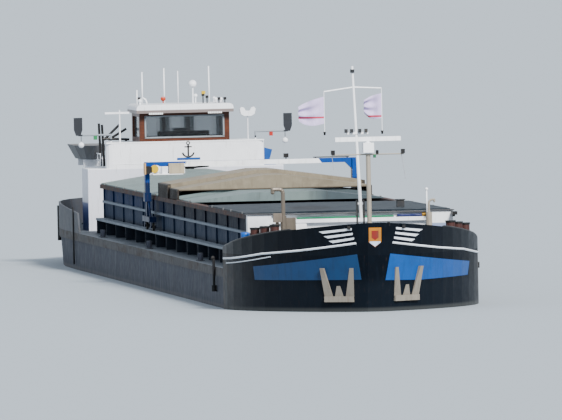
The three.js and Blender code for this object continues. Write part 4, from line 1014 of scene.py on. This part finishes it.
# %% Drag chain, lamp, handrail and conduit
middle, = gantry_x(0.3)
drag = Shape().box(gantry_x(0.2, 0.4), (-2.28, -1.95), (5.37, 5.46))
drag.tube([(middle, -2.0, 5.42), (middle, -1.6, 5.45), (middle, -1.45, 5.46)], 0.035)
lamp = Shape().tube([(middle, 1.18, 5.6), (middle, 1.18, 5.68)], 0.02)
lamp.box(gantry_x(0.22, 0.38), (1.1, 1.26), (5.68, 5.82))
handrail = Shape().tube([(GANTRY_X, 2.14, 5.66), (GANTRY_X, 3.36, 5.66)], 0.018)
for y in ((2.2, 2.24), (3.28, 3.32)):
    handrail.box(gantry_x(-0.02, 0.02), y, (5.6, 5.67))
pipe_x, = gantry_x(0.12)
conduit = Shape().tube([(pipe_x, 3.41, 5.3), (pipe_x, 3.41, 4.62)], 0.015)
for shape, name, paint in ((drag, "drag_chain", black), (lamp, "gantry_lamp", black),
                           (handrail, "gantry_handrail", black),
                           (conduit, "gantry_conduit", steel)):
    print(name, size_of(shape.make(name, paint, "gantry")))

# %% [markdown]
# ## Wheelhouse front
# A pale frame holds the wheelhouse window, and two rows of small square lamps hang under the eave.
# Four bars make the frame, as on the real one. An Inset of the wall's face would be quicker, but
# the wall belongs to the frame of solids and isn't edited.

# %% Wheelhouse front
WINDOW_Y, WINDOW_Z, WINDOW_X = (-1.375, 1.375), (6.02, 6.75), (-20.75, -20.69)
FRAME_OUT, FRAME_IN = 0.03, 0.02  # how far the frame reaches outside and inside the opening
(y0, y1), (z0, z1) = WINDOW_Y, WINDOW_Z
window = Shape()
for y, z in (((y0 - FRAME_OUT, y1 + FRAME_OUT), (z0 - FRAME_OUT, z0 + FRAME_IN)),
             ((y0 - FRAME_OUT, y1 + FRAME_OUT), (z1 - FRAME_IN, z1 + FRAME_OUT)),
             ((y0 - FRAME_OUT, y0 + FRAME_IN), WINDOW_Z),
             ((y1 - FRAME_IN, y1 + FRAME_OUT), WINDOW_Z)):
    window.box(WINDOW_X, y, z)
print("window frame", size_of(window.make("window_frame", wear("pale_frame", "9aa1a7", 0.4))))

EAVE_LAMPS, LAMP_HALF = 8, 0.024
eave = Shape()
for y0, y1 in ((-1.28, -0.78), (0.8, 1.3)):
    for n in range(EAVE_LAMPS):
        y = y0 + (y1 - y0) * (n + 0.5) / EAVE_LAMPS
        eave.box((-20.5, -20.38), (y - LAMP_HALF, y + LAMP_HALF), (6.83, 6.89))
eave = eave.make("eave_lamps", wear("lamp_lens", "eef0f0", 0.2, amount=0.1))
print("eave lamps", size_of(eave))

# %% [markdown]
# ## Whip aerials
# Thin rods stand on the wheelhouse roof, thicker at the foot than at the tip, beside a bent pipe. A
# bar whose radius changes along it gives the taper, which a plain cylinder wouldn't.

# %% Whip aerials
WHIP_X, WHIP_FOOT = -22, 1.5  # the foot is this many times as thick as the tip
WHIPS = [  # y, top, base and radius of the tip
    (-1.33, 8.3, 7.14, 0.022), (-0.55, 8.42, 7.14, 0.022), (-0.06, 8.31, 7.14, 0.018),
    (1.04, 8.46, 7.14, 0.022), (-1.52, 7.67, 7.1, 0.02)]
BENT_PIPE = [(-21.6, -1.22, 7.12), (-21.6, -1.22, 7.24), (-21.6, -1.26, 7.34), (-21.6, -1.36, 7.4)]

whips = Shape()
for y, top, base, radius in WHIPS:
    whips.tube([(WHIP_X, y, base), (WHIP_X, y * 0.995, top)], radius * WHIP_FOOT, 6, radius)
whips.tube(BENT_PIPE, 0.03)
print("whips", size_of(whips.make("whip_aerials", white_gloss, smooth=True)))

# %% [markdown]
# ## Deckhouse front
# The deckhouse bears a plain anchor over a blue bar, and white trim runs across it. Paint masks
# could draw them, but on the ship the anchor is a raised piece, and raised bars catch the light as
# it does.

# %% Anchor emblem
FRONT_X = -20.6
ey, ez = 0.1, 5.55
ex = FRONT_X + 0.004
EYE_R, ARM_Y, ARM_Z = 0.055, 0.2, 0.18
anchor = Shape()
anchor.box((FRONT_X - 0.02, ex), (ey - 0.03, ey + 0.03), (ez - 0.22, ez + 0.2))
anchor.box((FRONT_X - 0.02, ex), (ey - 0.13, ey + 0.13), (ez + 0.1, ez + 0.14))
anchor.tube([(ex, ey + EYE_R * math.sin(a), ez + 0.255 + EYE_R * math.cos(a))
             for a in (2 * math.pi * n / 16 for n in range(17))], 0.018, 6)
anchor.tube([(ex, ey + ARM_Y * math.sin(a), ez - 0.05 - ARM_Z * math.cos(a))
             for a in (math.radians(d) for d in range(-80, 81, 16))], 0.03, 6)
print("emblem", size_of(anchor.make("deckhouse_anchor", black)))

# %% Bar and trim
blue_bar = Shape().box((FRONT_X - 0.02, FRONT_X + 0.006), (-0.3, 0.52), (5.21, 5.29))
print("bar", size_of(blue_bar.make("deckhouse_bar", blue_panel)))
trim = Shape().box((FRONT_X - 0.02, FRONT_X + 0.008), (-2.6, 2.6), (5.1, 5.12))
trim.box((FRONT_X - 0.05, FRONT_X + 0.01), (-2.78, 2.78), (5.83, 5.88))
print("trim", size_of(trim.make("deckhouse_trim", white_gloss)))

# %% [markdown]
# ## Masts
# The radar has a rounded gearbox, and its yard carries a lamp at each end. The flag mast has a lamp
# on top and a cluster of lamps half way up. What sits on the flag mast rides on the mast's body,
# because it folds down with it, and the rest stays with the hull.

# %% Radar gear
RADAR_X = 31.6
gear = Shape().ball((RADAR_X, 0, 6.7), 0.19, 0.9)
gear.tube([(RADAR_X, 0, 6.5), (RADAR_X, 0, 6.56)], 0.12, 16)
print("gearbox", size_of(gear.make("radar_gearbox", white_gloss, smooth=True)))
yard_lamps = Shape()
for y in (-1.12, 1.12):
    yard_lamps.box((RADAR_X - 0.12, RADAR_X + 0.02), (y - 0.06, y + 0.06), (6.48, 6.62))
yard_lamps.tube([(RADAR_X - 0.05, 0.3, 6.48), (RADAR_X - 0.05, 0.3, 6.6)], 0.05)
print("yard lamps", size_of(yard_lamps.make("radar_yard_lamps", black)))
green_lamp = Shape().tube([(RADAR_X - 0.02, 0.21, 6.36), (RADAR_X - 0.02, 0.21, 6.47)], 0.05)
green_lamp = green_lamp.make("radar_green_lamp", wear("green_lens", "2c7a58", 0.3))
print("green lamp", size_of(green_lamp))

# %% Flag mast
MAST_X = 29.3
mast_gear = Shape()
mast_gear.tube([(MAST_X, -0.17, 9.03), (MAST_X, -0.17, 9.14)], 0.07, 12)
for y in (-0.42, -0.24, 0.02, 0.22):
    mast_gear.box((MAST_X + 0.02, MAST_X + 0.14), (y - 0.05, y + 0.05), (7.12, 7.24))
mast_gear = mast_gear.make("mast_lamps", wear("dark_lamps", "33363a", 0.4), "mast")
print("mast lamps", size_of(mast_gear))
rod = Shape().tube([(MAST_X + 0.02, 0.1, FOREDECK_Z), (MAST_X + 0.02, 0.11, 4.6)], 0.025)
print("stay rod", size_of(rod.make("mast_stay_rod", wear("brown_paint", "6d5142", 0.6))))

# %% [markdown]
# ## Flag cloth
# A flag is thin woven cloth, pale with one red band here. Its threads could be modelled, but a wave
# texture far finer than the folds gives the weave through bump, which costs no faces.

# %% Flag cloth
RED_BAND = (7.6, 7.66)
cloth = Paint("flag_weave", "c9bfdc", 0.9, shine=0.1)
cloth.mottle("b3a8cc", 0.3, 0.4).streaks("dcd8e8", 0.05, 0.4, 0.4)
cloth.over("c01030", cloth.band("Z", *RED_BAND, 0.01), 0.9)
threads = cloth.node("ShaderNodeTexWave", {"Vector": cloth.place, "Scale": 60.0})
weave = cloth.node("ShaderNodeBump", {"Height": threads, "Strength": 0.2, "Distance": 0.002})
cloth.tree.links.new(weave, cloth.shader.inputs["Normal"])
cloth_material = cloth.done()
print("flag cloth, nodes", len(cloth.tree.nodes))

# %% [markdown]
# ## Flags in the wind
# Wind carries each flag out from its halyard while its own weight pulls the fly end down, so it
# ripples across and gathers up and down. A cloth simulation would need wind too, and then it never
# comes to rest. So the sheet is laid out here in small steps. Every ripple turns the cloth's
# direction and never its length, and so the sheet keeps the size that it was cut to.

# %% Flags in the wind
FLAG_X = MAST_X
FLAG_STEPS = (44, 40)  # along the flag and down it
GATHER, GATHERS = 1.5, 2.5  # steepest turn of a gather, at the fly end, and how many there are
RIPPLE, RIPPLES = 0.5, 1.3
DROOP, MORE_DROOP = 0.16, 0.36  # slope of the top edge at the halyard, and what the fly end adds


def flag_points(luff_y, width, top, height, phase):
    """Columns of points from the halyard to the fly end, each from the top down."""
    columns, rows = FLAG_STEPS
    du, dv = width / columns, height / rows
    points = []
    x, y, z = FLAG_X, luff_y, top
    for column in range(columns + 1):
        share = column / columns
        down_x, down_z = x, z
        for row in range(rows + 1):
            points.append((down_x, y, down_z))
            bend = GATHER * share ** 1.5 * math.sin(
                2 * math.pi * GATHERS * (row + 0.5) / rows + phase)
            down_x += math.sin(bend) * dv
            down_z -= math.cos(bend) * dv
        turn = RIPPLE * math.sin(2 * math.pi * RIPPLES * (column + 0.5) / columns + phase)
        droop = DROOP + MORE_DROOP * share
        x += math.sin(turn) * math.cos(droop) * du
        y -= math.cos(turn) * math.cos(droop) * du
        z -= math.sin(droop) * du
    return points


print("points in a flag", len(flag_points(0, 1, 1, 1, 0)))

# %% Two flags


def flag(name, node, luff_y, width, top, height, phase):
    """A flag that stands for the frame's plain one, and hides it."""
    columns, rows = FLAG_STEPS
    tall = rows + 1
    faces = [(c * tall + r, c * tall + r + 1, (c + 1) * tall + r + 1, (c + 1) * tall + r)
             for c in range(columns) for r in range(rows)]
    shape = Shape().faces(flag_points(luff_y, width, top, height, phase), faces)
    piece = shape.make(name, cloth_material, "mast", smooth=True)
    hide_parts(node)
    print(name, size_of(piece))


flag("flag_cloth_starboard", "flag_starboard", -1.1, 0.96, 8.29, 0.86, 0.3)
flag("flag_cloth_port", "flag_port", 0.75, 0.64, 8.36, 0.79, 2.1)
print("flag height at the halyard, real metres", 0.86, "and", 0.79)

# %% [markdown]
# ## Halyard weights and signal lines
# A small tapered weight keeps each halyard straight below its flag, and two thin lines come down
# from the radar's yard. They are bars again, the weights narrower towards the foot.

# %% Halyard weights and signal lines
LINE_X, LINE_TOP = 31.5, 6.46
weights = Shape()
for y in (-1.096, 0.753):
    weights.tube([(FLAG_X, y, z) for z in (7.17, 7.13, 7.06)], 0.05, 10, 0.03)
weights = weights.make("halyard_weights", black, "mast", smooth=True)
print("weights", size_of(weights))
lines = Shape()
for top_y, foot_y, foot_z in ((-1.15, -1.09, 5.99), (1.08, 1.2, 5.66)):
    lines.tube([(LINE_X, top_y, LINE_TOP), (LINE_X, foot_y, foot_z)], 0.009, 6)
lines = lines.make("radar_signal_lines", wear("line_grey", "aeb2b8", 0.8))
print("signal lines", size_of(lines))

# %% [markdown]
# ## Loose cords
# A green mooring rope and a dark blue deck hose lie along the beam at the front of the hold. Each
# is a bar along its own path, and each lies on the beam that carries it.

# %% A cord along a path
BEAM_TOP = 4.32
BEAM_X = 26.28


def cord(name, material, points, radius, far_end, stiffness, *fittings):
    path = [Vector(p) for p in points]
    piece = Shape().tube(path, radius, 10).make(name, material, smooth=True)


print("the cords lie at height", BEAM_TOP)

# %% Green rope
ROPE_R = 0.03
rope_paint = Paint("green_rope", "2f8f6d", 0.85, shine=0.1)
rope_paint.mottle("1f6a52", 0.08, 0.6).seams("17503e", "Y", 0.03, 0.006, 0.5)
rope_path = [(BEAM_X + 0.035 * math.sin(0.7 * n), -1.7 + 0.09 * n, BEAM_TOP + ROPE_R)
             for n in range(36)]
cord("green_rope", rope_paint.done(bump=0.3, grain=0.02), rope_path, ROPE_R, "bare", "limp")
print("rope, points", len(rope_path))

# %% Deck hose
HOSE_R = 0.045
hose_path = [(BEAM_X + 0.02 * math.sin(0.5 * n), 1.56 + 0.04 * n, BEAM_TOP + HOSE_R)
             for n in range(22)]
coupling = Shape().tube([(BEAM_X, 2.36, BEAM_TOP + 0.06), (26.29, 2.5, BEAM_TOP + 0.06)], 0.06, 14)
coupling = coupling.make("hose_coupling", wear("brass", "b08d3c", 0.35, metallic=0.8))
hose_paint = wear("deck_hose", "1c2f6b", 0.45, dirt="131f45")
cord("deck_hose", hose_paint, hose_path, HOSE_R, "fitting", "stiff", coupling)
print("coupling", size_of(coupling))

# %% [markdown]
# ## Small gear on the foredeck
# Boxes, a float and a lamp post stand behind the bulwark, and a vent stands on the foremost cover.
# They are only a few pixels each in the photograph, so each is built from one to three simple
# solids, set on what carries it.

# %% Small gear on the foredeck
foredeck_box = Shape().box((28.1, 28.3), (-2.68, -2.4), (4.29, 4.58))
foredeck_box.box((28.16, 28.24), (-2.6, -2.5), (3.3, 4.3))
blue_float = Shape().tube([(27.6, -3.52, z) for z in (3.34, 3.42, 3.9, 3.98)], 0.14, 20)
lamp_post = Shape().tube([(28.2, 2.28, 4.4), (28.2, 2.28, 5.2)], 0.02)
lamp_post.ball((28.2, 2.28, 5.24), 0.05)
for shape, name, paint, smooth in (
        (foredeck_box, "foredeck_box", wear("taupe_paint", "7d746b", 0.55), False),
        (blue_float, "blue_float", wear("float_blue", "0062b4", 0.4, dirt="003f78"), True),
        (lamp_post, "bow_lamp_post", white_gloss, True)):
    print(name, size_of(shape.make(name, paint, smooth=smooth)))

# %% Small gear at the fore end of the hold
cover_vent = Shape().box((23.08, 23.32), (1.93, 2.17), (4.55, 4.78))
cover_vent.box((23.05, 23.35), (1.9, 2.2), (4.78, 4.81))
cabinet_lamp = Shape().box((26.62, 26.95), (3.26, 3.42), (4.36, 4.47))
cabinet_lamp.box((26.6, 26.66), (3.3, 3.38), (4.3, 4.4))
fender_rope = Shape().tube(
    [(24.0, 4.02, 3.0), (24.4, 4.05, 2.9), (25.2, 4.06, 2.84), (25.6, 4.06, 2.79)], 0.018)
for shape, name, paint in ((cover_vent, "cover_vent", wear("dark_box", "2c3036", 0.5)),
                           (cabinet_lamp, "cabinet_lamp", black),
                           (fender_rope, "port_fender_rope", wear("rope_grey", "6f7378", 0.8))):
    print(name, size_of(shape.make(name, paint)))

# %% [markdown]
# ## Gear round the houses
# Dark bars of a folded trestle stand behind the deckhouse, and a blue box hangs at its port side.
# The bars are read from the photograph as lines from one point to another, so a list of end points
# is the plainest way to keep them.

# %% Trestle and side box
TRESTLE_X = -24.0
TRESTLE = [  # y and z of both ends of each bar
    ((-2.62, 4.98), (-2.67, 6.49)), ((-2.5, 4.98), (-2.56, 6.44)), ((-1.7, 4.98), (-1.72, 5.95)),
    ((-2.55, 5.95), (-1.6, 5.9)), ((-2.5, 5.9), (-1.95, 6.42)), ((-2.35, 5.9), (-1.7, 6.28))]
trestle = Shape()
for low, high in TRESTLE:
    trestle.tube([(TRESTLE_X, *low), (TRESTLE_X, *high)], 0.045)
print("trestle", size_of(trestle.make("stern_trestle", black)))

side_box = Shape().prism([(2.6, 5.15), (3.0, 5.15), (3.1, 5.5), (2.84, 5.57), (2.6, 5.5)],
                         (-21.2, -20.9))
side_box.prism([(2.7, 4.97), (3.22, 4.97), (3.2, 5.07), (2.75, 5.07)], (-21.3, -20.9))
side_box = side_box.make("side_box_port", wear("blue_gear", "00559e", 0.45, dirt="003a70"))
print("side box", size_of(side_box))

# %% [markdown]
# ## Lamps of the wheelhouse
# The wheelhouse roof carries small lamps on posts, and each side board has a lamp in the colour of
# its side, green to starboard and red to port. They are unlit by day, so their lenses are plain
# paint.

# %% Lamps of the wheelhouse
ROOF_LAMP_X, ROOF_Z = -21.3, 7.14
ROOF_LAMPS = [(0.74, 7.44), (0.88, 7.37), (1.3, 7.3), (1.51, 7.3), (-1.52, 7.36)]  # y and top
roof_lamps = Shape()
for y, top in ROOF_LAMPS:
    roof_lamps.tube([(ROOF_LAMP_X, y, ROOF_Z), (ROOF_LAMP_X, y, top)], 0.022)
    roof_lamps.box((ROOF_LAMP_X - 0.05, ROOF_LAMP_X + 0.05), (y - 0.05, y + 0.05),
                   (top - 0.02, top + 0.07))
print("roof lamps", size_of(roof_lamps.make("roof_lamps", black)))
yellow_lamp = Shape().box((-21.36, -21.24), (0.69, 0.82), (7.5, 7.6))
print("yellow lamp", size_of(yellow_lamp.make("yellow_lamp", yellow)))
for y, color_name, code in ((-3.1, "green", "2c8a5a"), (3.1, "red", "b3342c")):
    side_lamp = Shape().box((-21.26, -21.12), (y - 0.06, y + 0.06), (5.98, 6.12))
    side_lamp = side_lamp.make("side_lamp_" + color_name, wear(color_name + "_lens", code, 0.3))
    print(side_lamp.name, size_of(side_lamp))

# %% [markdown]
# ## Fenders at the stern
# A pole and a round fender hang along the starboard side. The fender's ends are rounded off by
# smooth shading over short end pieces, because its outline is too small for real roundings to show.

# %% Fenders at the stern
fenders = Shape().tube([(-19.5, -4.12, 1.68), (-19.5, -4.12, 3.67)], 0.03)
fenders.tube([(-28, -3.72, z) for z in (2.29, 2.4, 3.4, 3.53)], 0.08, 14)
print("fenders", size_of(fenders.make("stern_fenders", black, smooth=True)))

# %% [markdown]
# ## Windows
# The photograph doesn't show the houses from the sides or from astern, so their windows are a
# guess: dark panes with cut corners in pale alloy frames. Frame and pane are laid on the wall,
# slightly proud, since the walls have no openings. Three places are wrong and still to be mended:
# the foremost port window hangs clear of the house, the next one reaches past its corner, and the
# port window astern lies across the cabin doorway.

# %% A window on a wall
BEHIND = -0.03  # how far a window reaches into its wall
CORNER_CUT = 0.06
frames, panes = Shape(), Shape()


def window_at(place, across, size):
    """A framed pane at the middle of a wall; across is the wall's own direction, flat."""
    place, along = Vector(place), Vector(across).normalized()
    out, cut = along.cross(Vector((0, 0, 1))), CORNER_CUT
    for shape, wider, proud in ((frames, 0.05, 0.02), (panes, 0.0, 0.032)):
        w, h = size[0] / 2 + wider, size[1] / 2 + wider
        outline = [(w - cut, h), (w, h - cut), (w, cut - h), (w - cut, -h),
                   (cut - w, -h), (-w, cut - h), (-w, h - cut), (cut - w, h)]
        points = [place + along * a + Vector((0, 0, b)) + out * depth
                  for depth in (BEHIND, proud) for a, b in outline]
        shape.faces(points, skin(1, len(outline)) + ends(1, len(outline)))


print("a pane stands", 0.032, "real metres proud of its wall")

# %% Windows
WINDOW_MIDDLE_Z = 4.3
SMALL, WIDE = (0.7, 0.5), (0.8, 0.5)
for x in (-19.2, -20.6, -22.0):
    window_at((x, 3.45, WINDOW_MIDDLE_Z), (-1, 0, 0), SMALL)
for side_y in SIDES:
    for x in (-23.6, -25.2, -26.8):
        window_at((x, side_y * 2.75, WINDOW_MIDDLE_Z), (-side_y, 0, 0), WIDE)
for y in (-1.6, 1.6):
    window_at((-28.2, y, WINDOW_MIDDLE_Z), (0, -1, 0), WIDE)
frames = frames.make("window_frames", wear("alloy", "9ba1a6", 0.35, metallic=0.4, amount=0.2))
pane = Paint("dark_pane", "1f2a33", 0.08, shine=0.5).mottle("33434f", 0.7, 0.6)
panes = panes.make("window_panes", pane.done(rough_spread=0.03))
print("windows", size_of(frames), "faces of the panes", len(panes.data.polygons))

# %% [markdown]
# ## Roof rails
# A rail of pipe runs along each side of the lower house's roof, with a thinner bar half way up. An
# Array modifier could repeat the posts, but a short list of their places serves the bars as well.

# %% Roof rails
RAIL_Z = (4.97, 5.2, 5.42)  # the roof, the middle bar and the top bar
POST_FIRST, POST_APART, POST_Y = -23.6, 0.9, 2.68
rails = Shape()
for side_y in SIDES:
    posts = [(POST_FIRST - POST_APART * n, side_y * POST_Y) for n in range(6)]
    rails.tube([(x, y, RAIL_Z[2]) for x, y in posts], 0.022)
    rails.tube([(x, y, RAIL_Z[1]) for x, y in posts], 0.014)
    for x, y in posts:
        rails.tube([(x, y, RAIL_Z[0] - 0.02), (x, y, RAIL_Z[2])], 0.018)
print("rails", size_of(rails.make("roof_rails", white_gloss)))

# %% [markdown]
# ## Sizes, and the end
# The box round everything that renders, apart from the floor, is measured last.

# %% Sizes, and the end
low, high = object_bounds()
